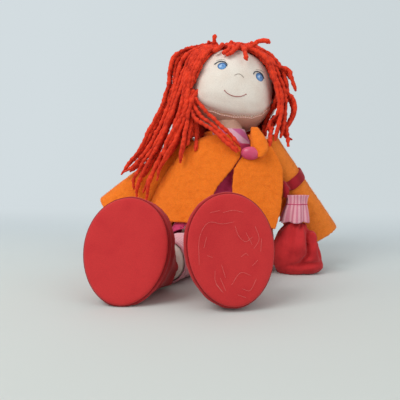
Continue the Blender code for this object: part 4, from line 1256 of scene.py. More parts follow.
def unwrap(mesh: Mesh, place: Callable[[Vector], tuple[float, float]], repeat: float) -> None:
    """Write a UV map from each point's place.

    Args:
        mesh: The mesh.
        place: Gives two lengths from a point.
        repeat: Length of one pattern repeat, which becomes the finish's patch in UV units.
    """
    layer = mesh.uv_layers.get("UVMap") or mesh.uv_layers.new(name="UVMap")
    for loop in mesh.loops:
        u, v = place(mesh.vertices[loop.vertex_index].co)
        layer.data[loop.index].uv = (u / repeat * REPEAT, v / repeat * REPEAT)


# Stations down the lapel's roll in centimetres: across, forward, up and half width
LAPEL = ((4.4, -2.3, 15.94, 0.35), (4.62, -2.8, 15.32, 0.54), (4.95, -3.4, 14.38, 0.73),
         (5.11, -3.8, 13.7, 0.69), (5.25, -4.0, 13.15, 0.5), (5.06, -4.1, 12.62, 0.24))


@dataclass
class Clothes(Stuffed):
    """Shirt, dress and fleece coat."""

    # The fleece's fibres: their length, the most on one piece, and how many stand on a square metre
    nap_length: float = 0.0017
    nap_count: int = 12800
    nap_density: float = 60e4

    def build(self) -> None:
        """Build the layers from the inside out."""
        self.build_shirt_and_dress()
        self.build_coat()
        self.build_sleeves()
        self.build_button()

    def build_shirt_and_dress(self) -> None:
        """Striped shirt, plain bodice and pleated skirt."""
        shirt = self.form("shirt", SHIRT, lambda p, n: 0.0003 * ripple(p, 0.009), self.knit_voxel, 2)
        for vertex in shirt.data.vertices:
            vertex.co.z += 0.0035 * max(0.0, (vertex.co.z - 0.15) / 0.0075)
        unwrap(shirt.data, lambda p: (p.x * 0.62 + p.z * 0.78, p.y), 0.0062)
        dress(shirt, "torso", "striped_jersey", ["shirt"])
        for node in ("dress_bodice", "skirt_back"):
            dress(self.form(node, DRESS, self.rumple, 0.001, 2), "torso", "dress_cotton", [node])
        for side in Side:
            node = f"skirt_front_{side}"
            panel = self.form(node, DRESS, self.rumple, self.knit_voxel, 2)
            dress(panel, None, "dress_cotton", [node])
            self.hang(panel, side)

    def rumple(self, place: Vector, normal: Vector) -> float:
        """Creases of thin cotton."""
        return 0.0006 * ripple(Vector((place.x, place.y, place.z * 0.35)), 0.01, 5.0)

    def hang(self, panel: Object, side: Side) -> None:
        """Bake a front panel's transform into its mesh."""
        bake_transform(panel)

    def fleece(self, place: Vector, normal: Vector) -> float:
        """The pilled nap and soft drape of the fleece."""
        drape = 0.001 * ripple(Vector((place.x, place.y, place.z * 0.5)), 0.03, 7.0)
        return drape + 0.00032 * ripple(place, 0.0042) + 0.00022 * ripple(place, 0.0018, 3.0)

    def build_coat(self) -> None:
        """Back, two fronts, collar and lapel, each with its nap."""
        pieces = {"coat_back": self.form("coat_back", FLEECE, self.fleece),
                  "coat_collar": self.build_collar(), "coat_lapel": self.build_lapel()}
        for number, (node, piece) in enumerate(pieces.items()):
            dress(piece, "torso", "coat_fleece", [node])
            self.pile(piece, FLEECE, "torso", number)
        for side in Side:
            node = f"coat_front_{side}"
            piece = self.form(node, FLEECE, self.fleece, 0.001)
            for vertex in piece.data.vertices:
                vertex.co += self.spread(vertex.co, side)
            dress(piece, None, "coat_fleece", [node])
            self.hang(piece, side)
            for fibres in self.pile(piece, FLEECE, None, 4):
                self.hang(fibres, side)

    def spread(self, place: Vector, side: Side) -> Vector:
        """Shift of a front: the left's corner hangs lower, the right's edge meets its sleeve.

        Args:
            place: A place on the front.
            side: Which front.

        Returns:
            How far the place moves.
        """
        if side is Side.LEFT:
            corner = clamp((place.x - 0.045) / 0.025) * clamp((0.095 - place.z) / 0.04)
            return Vector((0.0015, 0.0, -0.008)) * corner
        reach = clamp((-0.03 - place.x) / 0.04)
        low = clamp((0.142 - place.z) / 0.03)
        return Vector((-0.0085 * reach, 0.011 * reach * reach, 0.0)) * low

    def build_collar(self) -> Object:
        """The standing collar, drawn back on the doll's left where the lapel rolls off it.

        Returns:
            The collar, not yet on a body.
        """
        collar = self.form("coat_collar", FLEECE, self.fleece)
        middle = Vector((0.0145, 0.0, 0.0))
        for vertex in collar.data.vertices:
            out = vertex.co - middle
            turn = atan2(out.x, out.y)
            if turn > 0.9:
                turn -= 0.42 * (turn - 0.9)
                size = hypot(out.x, out.y)
                vertex.co = Vector((middle.x + size * sin(turn), size * cos(turn), vertex.co.z))
        return collar

    def build_lapel(self) -> Object:
        """The rolled lapel: a soft crescent from the collar to below the button.

        Returns:
            The lapel, not yet on a body.
        """
        rows = []
        for x, y, z, half in smooth_path(LAPEL, 8):
            row = []
            for a in turns(44):
                ahead = (y - 0.12 + 0.06 * half * cos(a)) * 0.01 - 0.0032 * sin(a)
                row.append(Vector(((x + half * cos(a)) * 0.01, ahead, z * 0.01)))
            rows.append(row)
        mesh = grid_mesh("coat_lapel_roll", rows, True, True)
        sculpt(mesh, self.fleece)
        return link_mesh("coat_lapel_roll", mesh, FLEECE)

    def pile(self, piece: Object, finish: Cloth, body: str | None, seed: int) -> list[Object]:
        """Stand the fleece's fibres on a piece, three in four in its colour and the rest paler, as painted
        highlight.

        Args:
            piece: The fleece.
            finish: Its finish.
            body: The body it rides, or None where it is left unattached.
            seed: Seed of the scatter.

        Returns:
            The two sets of fibres.
        """
        area = sum(face.area for face in piece.data.polygons)
        count = int(min(self.nap_count, self.nap_density * area))
        sets = []
        for share, colour in ((0.72, finish), (0.28, NAP_HIGHLIGHT)):
            fibres = self.workshop.fuzz(f"{piece.name}_{colour.name}_nap", piece, colour, int(count * share),
                                        seed + int(100 * share), self.nap_length)
            dress(fibres, body, "coat_fleece")
            sets.append(fibres)
        return sets

    def build_sleeves(self) -> None:
        """Two bell sleeves."""
        for side in Side:
            node = f"coat_sleeve_{side}"
            # The doll's left sleeve takes the paler copy of the fleece, as painted light
            finish = FLEECE_PAINTED_LIGHT if side is Side.LEFT else FLEECE
            piece = self.form(node, finish, self.fleece)
            dress(piece, f"arm_{side}", "coat_fleece", [node])
            self.pile(piece, finish, f"arm_{side}", 6)

    def build_button(self) -> None:
        """The oval domed button."""
        form = soft_copy("button", 0.00035, 8)
        middle = sum((v.co for v in form.data.vertices), Vector()) / len(form.data.vertices)
        for vertex in form.data.vertices:
            off = vertex.co - middle
            off = Matrix.Rotation(radians(6), 3, "Y") @ Vector((off.x * 1.05, off.y, off.z * 0.91))
            vertex.co = middle + off
        button = link_mesh("button_dome", evaluated(form), BUTTON)
        dress(button, "torso", "button_resin", ["button"])


# Half profiles of a sole and its rand: depth behind the sole's face, and growth of the outline
SOLE_PROFILE = ((-0.0004, -0.012), (-0.0003, -0.005), (-0.0001, -0.0022), (0.0004, -0.0008),
                (0.0012, -0.0001), (0.0022, -0.0008), (0.0034, -0.002))
RAND_PROFILE = ((0.0034, -0.0016), (0.004, 0.0004), (0.0054, 0.0016), (0.0074, 0.002),
                (0.0094, 0.0016), (0.0108, 0.0004), (0.0113, -0.001))
# Lint on the doll's left sole: each hair's places across and up the sole, in metres
LINT_HAIRS = (
    ((-0.027, -0.008), (-0.0245, 0.012), (-0.0165, 0.0225), (-0.006, 0.0205), (0.004, 0.021)),
    ((-0.004, 0.029), (0.004, 0.03), (0.012, 0.0275)), ((-0.014, 0.03), (-0.006, 0.031)),
    ((0.004, 0.018), (0.006, 0.01), (0.011, 0.005), (0.017, 0.008)),
    ((0.02, 0.016), (0.022, 0.006), (0.017, -0.001)), ((0.012, 0.012), (0.016, 0.002)),
    ((-0.0155, -0.014), (-0.016, -0.022), (-0.012, -0.03)), ((-0.012, -0.02), (-0.009, -0.03)),
    ((-0.008, -0.02), (-0.01, -0.01)), ((-0.004, -0.026), (0.004, -0.018), (0.012, -0.021)),
    ((0.006, -0.006), (0.01, -0.004), (0.012, -0.006)), ((-0.016, -0.024), (-0.011, -0.031)),
    ((0.014, -0.014), (0.019, -0.01)), ((-0.02, -0.002), (-0.016, -0.004)),
    ((0.0, -0.034), (0.006, -0.037)), ((0.016, -0.024), (0.01, -0.032), (0.004, -0.03)),
    ((-0.022, 0.004), (-0.019, 0.012)), ((0.022, -0.004), (0.024, 0.006)),
)


@dataclass
class Shoes(Stuffed):
    """Velour shoes with flat oval soles, a rand and a padded upper."""

    length: float = 0.0895
    width: float = 0.071
    # How far the sole's widest line stands inside its outline
    proud: float = 0.0012
    rows: int = 96
    rim_voxel: float = 0.0014
    # How far the upper's sides are drawn in beside the rand
    tuck: float = 0.0034

    def frame_of(self, side: Side) -> tuple[Vector, Matrix]:
        """How a shoe stands.

        Args:
            side: Which foot.

        Returns:
            The middle of its sole, and its turn.
        """
        if side is Side.RIGHT:
            place, angles = (-0.0582, -0.164, 0.044), (5.3, 12.0, 7.0)
        else:
            place, angles = (0.0284, -0.1682, 0.0474), (18.0, 8.0, -5.0)
        return Vector(place), held(*map(radians, angles))

    def rim(self, side: Side, depth: float, grow: float) -> list[Vector]:
        """The sole's outline at a depth behind its face.

        Args:
            side: Which foot.
            depth: Distance behind the face.
            grow: Added to both half sizes.

        Returns:
            A closed row of points, kept above the floor.
        """
        place, turned = self.frame_of(side)
        row = []
        for a in turns(self.rows):
            x = (self.width / 2 + grow) * cos(a)
            z = (self.length / 2 + grow) * sin(a)
            x *= 1 + 0.1 * z / self.length
            point = place + turned @ Vector((x, depth, z))
            point.z = max(point.z, 0.0006)
            row.append(point)
        return row

    def build(self) -> None:
        """Build both shoes."""
        for side in Side:
            self.build_sole(side)
            self.build_upper(side)
        self.build_lint()

    def build_sole(self, side: Side) -> None:
        """Sole and rand, with a sunk seam between them and its thread.

        Args:
            side: Which foot.
        """
        place, turned = self.frame_of(side)
        grow = -self.proud
        face = [[place + (p - place) * share for p in self.rim(side, -0.0005, grow)]
                for share in (0.22, 0.42, 0.62)]
        for part, profile, inner, finish in (("sole", SOLE_PROFILE, face, SOLE),
                                             ("rand", RAND_PROFILE, [], UPPER)):
            node = f"shoe_{part}_{side}"
            rows = inner + [self.rim(side, depth, grow + out) for depth, out in profile]
            pole = place + turned @ Vector((0, -0.0005, 0)) if inner else None
            mesh = grid_mesh(node, rows, True, True, (pole, None))
            if inner:
                sculpt(mesh, lambda p, n: 0.0001 * ripple(p, 0.02, side.sign))
            else:
                sculpt(mesh, lambda p, n: 0.0004 * ripple(p, 0.006, side.sign * 2.0))
            dress(link_mesh(f"{node}_pad", mesh, finish), f"leg_{side}", "shoe_velour", [node])
        path = self.rim(side, 0.0028, grow + 0.0002)
        seam = self.workshop.thread(f"sole_seam_{side}", [path + path[:1]], 0.00075, SEAM)
        dress(seam, f"leg_{side}", "shoe_velour")

    def build_upper(self, side: Side) -> None:
        """The padded upper, with puckers drawn in towards the ankle.

        Args:
            side: Which foot.
        """
        node = f"shoe_upper_{side}"
        place, turned = self.frame_of(side)

        def pucker(point: Vector, normal: Vector) -> float:
            """Radial gathers, deeper away from the sole, and a tuck beside the rand.

            Args:
                point: A place on the upper.
                normal: Its normal.

            Returns:
                Height over the swollen surface.
            """
            local = turned.transposed() @ (point - place)
            angle = atan2(local.z, local.x)
            deep = clamp((local.y - 0.014) / 0.03)
            sideways = max(0.0, 1 - 1.6 * abs((turned.transposed() @ normal).y))
            return (0.0007 * deep * sin(17 * angle + 3 * ripple(point, 0.03))
                    + 0.0005 * ripple(point, 0.012, 9.0) - self.tuck * (1 - deep) * sideways)

        upper = self.pad(node, UPPER, pucker, 0.001, self.rim_voxel)
        dress(upper, f"leg_{side}", "shoe_velour", [node], fill=0.7)

    def build_lint(self) -> None:
        """Pale hairs that cling to the doll's left sole."""
        place, turned = self.frame_of(Side.LEFT)
        paths = [[place + turned @ Vector((x, -0.0012, z)) for x, z in smooth_path(hair, 6)]
                 for hair in LINT_HAIRS]
        lint = self.workshop.thread("lint_hairs", paths, FIBRE, LINT)
        dress(lint, "leg_left", "shoe_velour")


# Folds on the pouch's front: height, then where each begins and ends, across and up, and half width
FOLDS = ((-0.0098, 0.008, 0.052, 0.006, 0.022, 0.003), (-0.005, 0.006, 0.022, -0.004, 0.013, 0.0028),
         (-0.0062, 0.017, 0.04, 0.021, 0.016, 0.003), (-0.004, -0.012, 0.011, 0.019, 0.013, 0.0026),
         (-0.0028, -0.01, 0.05, -0.016, 0.026, 0.003), (0.003, -0.002, 0.04, -0.008, 0.022, 0.007),
         (0.0024, 0.013, 0.044, 0.013, 0.024, 0.0045))
# The strap's stations below the sleeve: share of its twist, place and half width
STRAP_END = ((0.25, 0.079, -0.0262, 0.0985, 0.0052), (0.5, 0.0785, -0.0285, 0.0935, 0.0042),
             (0.75, 0.0782, -0.0292, 0.0885, 0.0036), (1.0, 0.0785, -0.0285, 0.082, 0.0032))


@dataclass
class Bag(Stuffed):
    """Drawstring shoulder bag: pouch, gathered frill, string and strap."""

    # The pouch's middle
    across: float = 0.0962
    forward: float = 0.025
    pouch_height: float = 0.0555
    frill_height: float = 0.0285
    frill_half_width: float = 0.016
    frill_half_depth: float = 0.0125
    # How far the frill leans towards the doll, and how many folds it has
    frill_shift: float = 0.006
    folds: int = 7
    # Where the string runs, as a share of the frill's height from its foot
    waist: float = 0.66
    # Thickness of the frill's cloth
    cloth: float = 0.001
    # How far down the sleeve the strap lies, and its half width there
    strap_station: float = 0.0445
    strap_half: float = 0.0058

    def build(self) -> None:
        """Build the bag from the floor up."""
        self.build_pouch()
        self.build_frill()
        self.build_string()
        self.build_strap()

    def fold(self, place: Vector, normal: Vector) -> float:
        """The slack pouch's deep folds and small wrinkles.

        Args:
            place: A place on the pouch.
            normal: Its normal; not used.

        Returns:
            Height over the swollen surface.
        """
        x, z = place.x - self.across, place.z
        front = clamp((-0.018 - place.y) / 0.008)
        deep = sum(height * crease((x, 0, z), (x0, 0, z0), (x1, 0, z1), width)
                   for height, x0, z0, x1, z1, width in FOLDS)
        angle = atan2(place.y + self.forward, x)
        clear = clamp((-0.01 - place.y) / 0.012)
        left = clear * clamp(-x / 0.02) * max(0.0, 1 - z / 0.075)
        gather = 0.0011 * max(0.0, (z - 0.03) / 0.025) * sin(11 * angle) + 0.0058 * left
        return front * deep + gather + 0.0009 * ripple(place, 0.013, 6.0)

    def build_pouch(self) -> None:
        """The velour pouch."""
        pouch = self.pad("bag_pouch", BAG, self.fold, 0.0012)
        for vertex in pouch.data.vertices:
            vertex.co.z = max(vertex.co.z, 0.0004)
        dress(pouch, "bag", "bag_velour", ["bag_pouch"], fill=0.35)

    def ruffle(self, level: float, inward: float) -> list[Vector]:
        """One row round the frill.

        Args:
            level: From 0 at the scalloped foot to 1 at the top edge.
            inward: Distance inside the outer face.

        Returns:
            A closed row of points.
        """
        swell = read_share(
            (0.0, 0.18, 0.38, 0.55, 0.7, 0.86, 1.0), (1.02, 0.98, 0.9, 0.82, 0.74, 0.74, 0.8), level)
        wave = read_share((0.0, 0.4, 0.62, 1.0), (0.0024, 0.0018, 0.0011, 0.002), level)
        row = []
        for a in turns(180):
            turn = self.folds * a + 1.5 * sin(2 * a + 0.6) + 0.9 * sin(3 * a)
            fold = sin(turn) * wave
            size = 1 + (fold - inward) / self.frill_half_width
            droop = -0.0007 * (1 - level) ** 2 * (1 + sin(turn))
            row.append(Vector((
                self.across - self.frill_shift * (0.75 + 0.5 * (1 - level)) + self.frill_half_width
                * (0.84 if cos(a) > 0 else 0.96) * swell * size * cos(a),
                -self.forward + self.frill_half_depth * swell * size * sin(a),
                self.pouch_height + 0.0012 + level * self.frill_height + droop)))
        return row

    def build_frill(self) -> None:
        """The gathered striped frill."""
        levels = [i / 26 for i in range(27)]
        mesh = sheet_mesh("bag_frill", [self.ruffle(level, 0.0) for level in levels],
                          [self.ruffle(level, self.cloth) for level in levels], True)
        frill = link_mesh("bag_frill_cloth", mesh, STRIPES)
        unwrap_turns(frill.data, Vector((self.across - self.frill_shift * 0.7, -self.forward, 0)), 17)
        dress(frill, "bag", "striped_jersey", ["bag_frill"])

    def build_string(self) -> None:
        """The drawstring round the frill's waist."""
        ring = [p + (p - Vector((self.across - 0.004, -self.forward, p.z))).normalized() * 0.0001
                for p in self.ruffle(self.waist, 0.0)]
        string = self.workshop.thread("bag_string", [ring + ring[:1]], 0.00045, DRESS)
        dress(string, "bag", "bag_velour", ["bag_drawstring"])

    def strap_route(self) -> list[tuple[Vector, Vector, Vector, float]]:
        """Stations of the strap: over the sleeve, which it hugs, then down to the frill.

        Returns:
            At each station its middle, the way across it, the way out of it, and its half width.
        """
        sleeve = bpy.data.objects["coat_sleeve_left_cloth"].data
        tree = BVHTree.FromPolygons([v.co for v in sleeve.vertices], [f.vertices[:] for f in sleeve.polygons])
        # The sleeve's own frame: down its length, then up and back across it
        along = Vector((0.49513, 0.13917, -0.8576))
        upright = Vector((0.86603, 0.0, 0.5))
        back = Vector((-0.06959, 0.99027, 0.12053))
        middle = Vector((0.05621, -0.0035, 0.1385)) + along * self.strap_station
        route = []
        for step in range(25):
            turn = radians(-125 + 215 * step / 24)
            way = upright * cos(turn) - back * sin(turn)
            found = tree.ray_cast(middle + way * 0.06, -way)[0]
            reach = (found - middle).length + 0.0017
            lean = along * (0.0045 * max(0.0, sin(turn)))
            route.append((middle + way * reach + lean, along, way, self.strap_half))
        for share, x, y, z, half in STRAP_END:
            side = along.lerp(Vector((0.9, -0.2, -0.2)), share).normalized()
            route.append((Vector((x, y, z)), side, Vector((0, -1, 0)), half))
        return route

    def build_strap(self) -> None:
        """The velour strap, a flat band."""
        outer, inner = [], []
        for place, side, out, half in self.strap_route():
            for grid, lift in ((outer, 0.0007), (inner, -0.0007)):
                grid.append([place + side * (half * (c / 4 - 1)) + out * (lift - 0.0006 * (c / 4 - 1) ** 2)
                             for c in range(9)])
        mesh = sheet_mesh("bag_strap_band", outer, inner, False)
        band = add_object("bag_strap_form", mesh)
        smooth = band.modifiers.new("smooth", "SUBSURF")
        smooth.levels = smooth.render_levels = 2
        strap = link_mesh("bag_strap_band", evaluated(band), STRAP)
        sculpt(strap.data, lambda p, n: 0.00035 * ripple(p, 0.007, 8.0))
        dress(strap, None, "bag_velour", ["bag_strap"])
        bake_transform(strap)


def unwrap_turns(mesh: Mesh, centre: Vector, count: int) -> None:
    """Write a UV map that runs round an upright middle, with a whole number of repeats.

    Args:
        mesh: The mesh.
        centre: A point on the upright line.
        count: Repeats in one turn.
    """
    layer = mesh.uv_layers.get("UVMap") or mesh.uv_layers.new(name="UVMap")
    for face in mesh.polygons:
        angles = []
        for index in face.vertices:
            place = mesh.vertices[index].co - centre
            angles.append(atan2(place.y, place.x) / tau)
        if max(angles) - min(angles) > 0.5:
            angles = [t + 1 if t < 0 else t for t in angles]
        for loop, turn in zip(face.loop_indices, angles):
            height = mesh.vertices[mesh.loops[loop].vertex_index].co.z
            layer.data[loop].uv = (turn * count * REPEAT, height)


# Loose strands by bundle, each from its root to its tip, in centimetres in the row frame
STRANDS = {
    "right": (
        ((-0.43, 0.6, 26.31), (-2.23, -0.2, 25.89), (-3.79, -0.8, 25.31), (-4.89, -1.2, 24.43),
         (-5.28, -1.6, 22.85), (-5.46, -1.9, 20.96), (-5.98, -2.2, 18.99), (-6.79, -2.3, 17.17),
         (-7.71, -2.4, 15.47), (-8.61, -2.6, 13.75), (-9.81, -2.6, 12.27), (-10.9, -2.6, 10.78)),
        ((-0.17, 0.4, 26.11), (-1.94, -0.6, 25.52), (-3.21, -1.4, 24.64), (-4.05, -1.9, 23.39),
         (-4.46, -2.2, 21.53), (-4.87, -2.5, 19.46), (-5.64, -2.7, 17.53), (-6.43, -2.8, 15.85),
         (-7.32, -3.0, 14.15), (-8.35, -3.1, 12.8), (-9.45, -3.0, 11.68), (-10.47, -2.8, 11.12)),
        ((0.11, 0.0, 25.85), (-1.41, -1.0, 25.14), (-2.55, -1.9, 24.0), (-3.27, -2.4, 22.55),
         (-3.79, -2.7, 20.49), (-4.42, -3.0, 18.45), (-5.21, -3.1, 16.57), (-5.99, -3.2, 14.79),
         (-6.87, -3.4, 13.1), (-7.78, -3.5, 11.54), (-8.51, -3.4, 9.96), (-8.91, -3.3, 8.15)),
        ((0.01, -0.2, 25.9), (-1.39, -1.2, 25.07), (-2.41, -2.1, 23.71), (-3.11, -2.7, 21.91),
         (-3.4, -3.0, 19.97), (-3.8, -3.3, 17.94), (-4.46, -3.4, 16.07), (-5.12, -3.5, 14.3),
         (-5.99, -3.7, 12.63), (-6.78, -3.8, 11.08), (-7.36, -3.8, 9.51), (-7.63, -3.7, 7.94)),
        ((0.04, -0.5, 25.69), (-1.12, -1.5, 24.79), (-2.09, -2.3, 23.42), (-2.68, -2.9, 21.62),
         (-2.93, -3.1, 19.61), (-3.1, -3.4, 17.91), (-3.65, -3.5, 16.15), (-4.29, -3.7, 14.49),
         (-5.15, -3.9, 12.83), (-5.95, -3.9, 11.51), (-6.3, -3.9, 10.07)),
        ((-2.11, -2.6, 20.02), (-2.54, -3.4, 18.77), (-2.83, -3.7, 17.41), (-3.02, -3.9, 15.86),
         (-3.3, -4.2, 14.2), (-3.62, -4.3, 12.35)),
        ((-1.91, -2.4, 20.28), (-2.38, -3.0, 19.06), (-2.99, -3.4, 17.57), (-3.63, -3.6, 16.02),
         (-4.27, -3.8, 14.48), (-5.02, -4.0, 13.37), (-5.56, -4.1, 12.38)),
        ((0.09, 0.2, 26.04), (-1.56, -0.8, 25.32), (-2.95, -1.6, 24.22), (-3.67, -2.1, 22.65),
         (-4.19, -2.4, 20.8), (-4.71, -2.7, 18.74), (-5.39, -2.8, 16.95), (-6.18, -2.9, 15.16),
         (-7.18, -3.1, 13.47), (-8.21, -3.2, 12.0), (-9.16, -3.2, 10.42), (-9.2, -3.1, 9.05)),
        ((-0.1, 0.9, 26.4), (-2.05, 0.2, 26.02), (-3.62, -0.4, 25.2), (-4.6, -0.9, 23.94),
         (-4.86, -1.4, 21.98), (-5.25, -1.8, 19.96), (-6.03, -2.0, 18.12), (-6.84, -2.1, 16.41),
         (-7.74, -2.3, 14.68), (-8.91, -2.4, 13.08), (-10.03, -2.3, 11.94), (-10.43, -2.2, 11.6)),
        ((0.07, -0.8, 25.47), (-0.97, -1.8, 24.52), (-1.8, -2.4, 23.27), (-2.3, -2.8, 21.85),
         (-2.55, -3.0, 20.38)),
        ((-0.01, 0.0, 26.09), (-1.53, -1.0, 25.25), (-2.68, -1.8, 24.04), (-3.27, -2.4, 22.44),
         (-3.43, -2.8, 20.46), (-3.38, -3.1, 18.63), (-4.02, -3.3, 16.85), (-4.8, -3.4, 15.08),
         (-5.56, -3.6, 13.52), (-6.34, -3.7, 11.97), (-7.15, -3.7, 10.41), (-8.03, -3.5, 8.72)),
        ((0.03, -0.4, 25.84), (-1.25, -1.4, 24.94), (-2.35, -2.1, 23.6), (-2.94, -2.7, 21.79),
         (-3.17, -3.0, 19.74), (-3.23, -3.3, 18.15), (-3.76, -3.5, 16.59), (-4.42, -3.6, 15.16),
         (-5.08, -3.7, 13.95), (-5.86, -3.8, 12.95), (-6.09, -3.8, 11.74)),
        ((-1.94, -1.4, 21.19), (-2.31, -2.4, 19.63), (-2.71, -3.1, 17.95), (-3.01, -3.6, 16.34),
         (-3.24, -3.9, 14.78), (-3.49, -4.1, 13.24), (-3.64, -4.2, 12.03)),
        ((-2.05, -1.4, 20.29), (-2.42, -2.4, 18.74), (-2.55, -3.0, 17.19), (-2.64, -3.5, 15.69),
         (-2.91, -3.9, 14.01)),
        ((-3.03, -1.5, 18.7), (-2.57, -2.2, 17.1), (-2.19, -2.8, 15.66), (-1.98, -3.2, 14.39),
         (-2.0, -3.7, 13.36)),
        ((-2.45, -2.6, 20.25), (-2.91, -3.2, 18.6), (-3.63, -3.6, 17.01), (-4.49, -3.8, 15.58),
         (-5.26, -3.9, 14.15), (-5.61, -3.9, 12.83)),
        ((-2.32, -0.4, 20.05), (-2.65, -1.3, 18.27), (-2.86, -2.2, 16.54), (-3.05, -3.1, 14.97)),
        ((-1.93, 0.2, 19.46), (-2.17, -0.6, 17.8), (-2.37, -1.6, 16.27), (-2.56, -2.6, 15.02)),
        ((-2.05, -0.6, 19.77), (-2.37, -1.6, 17.98), (-2.56, -2.6, 16.48), (-2.68, -3.3, 15.28)),
    ),
    "chest": (
        ((-2.17, -2.9, 19.3), (-1.21, -3.4, 18.08), (-0.07, -3.7, 16.91), (1.15, -4.0, 15.66),
         (2.24, -4.2, 14.55), (2.89, -4.4, 13.68)),
        ((-2.5, -3.0, 18.62), (-1.64, -3.5, 17.42), (-0.27, -3.9, 16.24), (0.96, -4.2, 15.11),
         (2.05, -4.5, 13.99), (2.8, -4.7, 13.23)),
        ((-2.72, -3.0, 18.41), (-2.16, -3.7, 17.07), (-0.91, -4.0, 16.13), (0.43, -4.3, 15.1),
         (1.64, -4.7, 13.98), (2.6, -4.9, 13.11)),
    ),
    "left": (
        ((6.68, 1.6, 17.73), (6.51, 0.2, 16.93), (6.33, -1.2, 15.94), (6.16, -2.1, 14.83),
         (5.98, -2.8, 13.78)),
        ((2.18, 0.5, 26.15), (3.94, -0.5, 25.39), (5.3, -1.0, 24.27), (6.3, -1.3, 22.92),
         (6.74, -1.4, 21.45), (7.37, -1.7, 19.82), (7.41, -1.7, 18.28), (7.2, -1.8, 16.83),
         (6.87, -2.0, 15.6), (6.66, -2.1, 14.49)),
        ((2.29, 0.7, 26.1), (4.17, -0.2, 25.25), (5.64, -0.7, 24.24), (6.64, -0.9, 23.03),
         (7.2, -1.0, 21.53), (7.66, -1.0, 20.07), (7.88, -1.1, 18.49), (7.77, -1.3, 16.9),
         (7.44, -1.5, 15.54), (7.22, -1.6, 14.87)),
        ((2.38, 1.2, 26.38), (4.51, 0.5, 25.58), (5.99, 0.0, 24.67), (7.0, -0.3, 23.41),
         (7.68, -0.4, 22.0), (8.03, -0.4, 20.42), (7.58, -0.6, 19.04), (7.69, -0.8, 17.43),
         (8.03, -1.0, 15.82), (8.25, -1.2, 13.89)),
        ((4.05, -0.2, 25.15), (5.41, -0.9, 24.08), (6.3, -1.0, 23.23), (7.42, -0.9, 22.88),
         (8.2, -0.8, 22.44), (8.54, -0.8, 21.31), (9.0, -0.7, 20.21)),
        ((5.86, -0.8, 23.53), (6.88, -0.7, 21.96), (7.68, -0.6, 20.38), (8.58, -0.5, 19.59),
         (8.93, -0.5, 18.46), (8.72, -0.5, 17.34), (8.05, -0.7, 16.2), (7.93, -0.8, 15.62)),
        ((3.38, -0.6, 25.39), (4.74, -1.1, 24.6), (5.79, -1.4, 23.36), (6.41, -1.5, 21.87),
         (6.89, -1.6, 20.3), (7.16, -1.6, 18.86), (6.85, -1.5, 17.45), (6.01, -1.3, 16.49),
         (6.34, -1.5, 15.45)),
        ((5.2, 0.4, 24.37), (6.47, 0.2, 22.89), (7.19, 0.1, 21.13), (7.58, 0.0, 19.39),
         (7.13, -0.2, 17.89), (6.26, -0.4, 16.61), (5.7, -0.4, 15.83)),
        ((5.68, 0.9, 24.27), (6.83, 0.7, 22.55), (7.71, 0.5, 20.64), (7.72, 0.3, 18.76),
         (7.52, 0.0, 17.1), (7.74, -0.3, 15.46), (8.62, -0.6, 14.73)),
    ),
    "tuft": (
        ((0.56, 0.2, 25.44), (0.03, -0.4, 25.72), (-0.28, -0.8, 26.06), (-0.27, -0.9, 26.81)),
        ((0.78, 0.3, 25.57), (-0.25, 0.0, 25.98), (-1.15, -0.3, 26.27)),
        ((1.04, 0.0, 25.46), (1.43, -0.6, 25.59), (1.79, -0.8, 26.07)),
        ((2.19, 0.2, 25.59), (3.03, -0.4, 25.24), (3.95, -0.9, 25.26), (4.62, -1.1, 25.72),
         (5.51, -1.1, 25.84), (6.17, -1.1, 25.53)),
        ((2.45, -0.4, 25.49), (3.07, -1.6, 25.07), (3.32, -2.4, 24.25), (3.55, -3.0, 23.19)),
        ((0.91, 0.2, 25.88), (1.59, -1.2, 25.38), (1.42, -2.0, 24.68), (0.79, -2.5, 24.22)),
        ((1.03, 0.2, 25.99), (1.93, -1.2, 25.37), (1.98, -2.1, 24.52), (1.24, -2.6, 23.95)),
        ((1.37, 0.3, 26.01), (2.25, -0.9, 25.68), (2.51, -1.5, 25.13), (1.86, -2.0, 24.66)),
        ((0.56, 0.2, 25.9), (0.66, -1.0, 25.6), (0.28, -1.8, 25.02), (-0.25, -2.1, 24.62)),
    ),
}
# Layers of the hair behind: strands in each, and how far outside the bundle's middle they hang
BACK_LAYERS = ((27, 0.0062), (27, 0.0016), (19, -0.003))


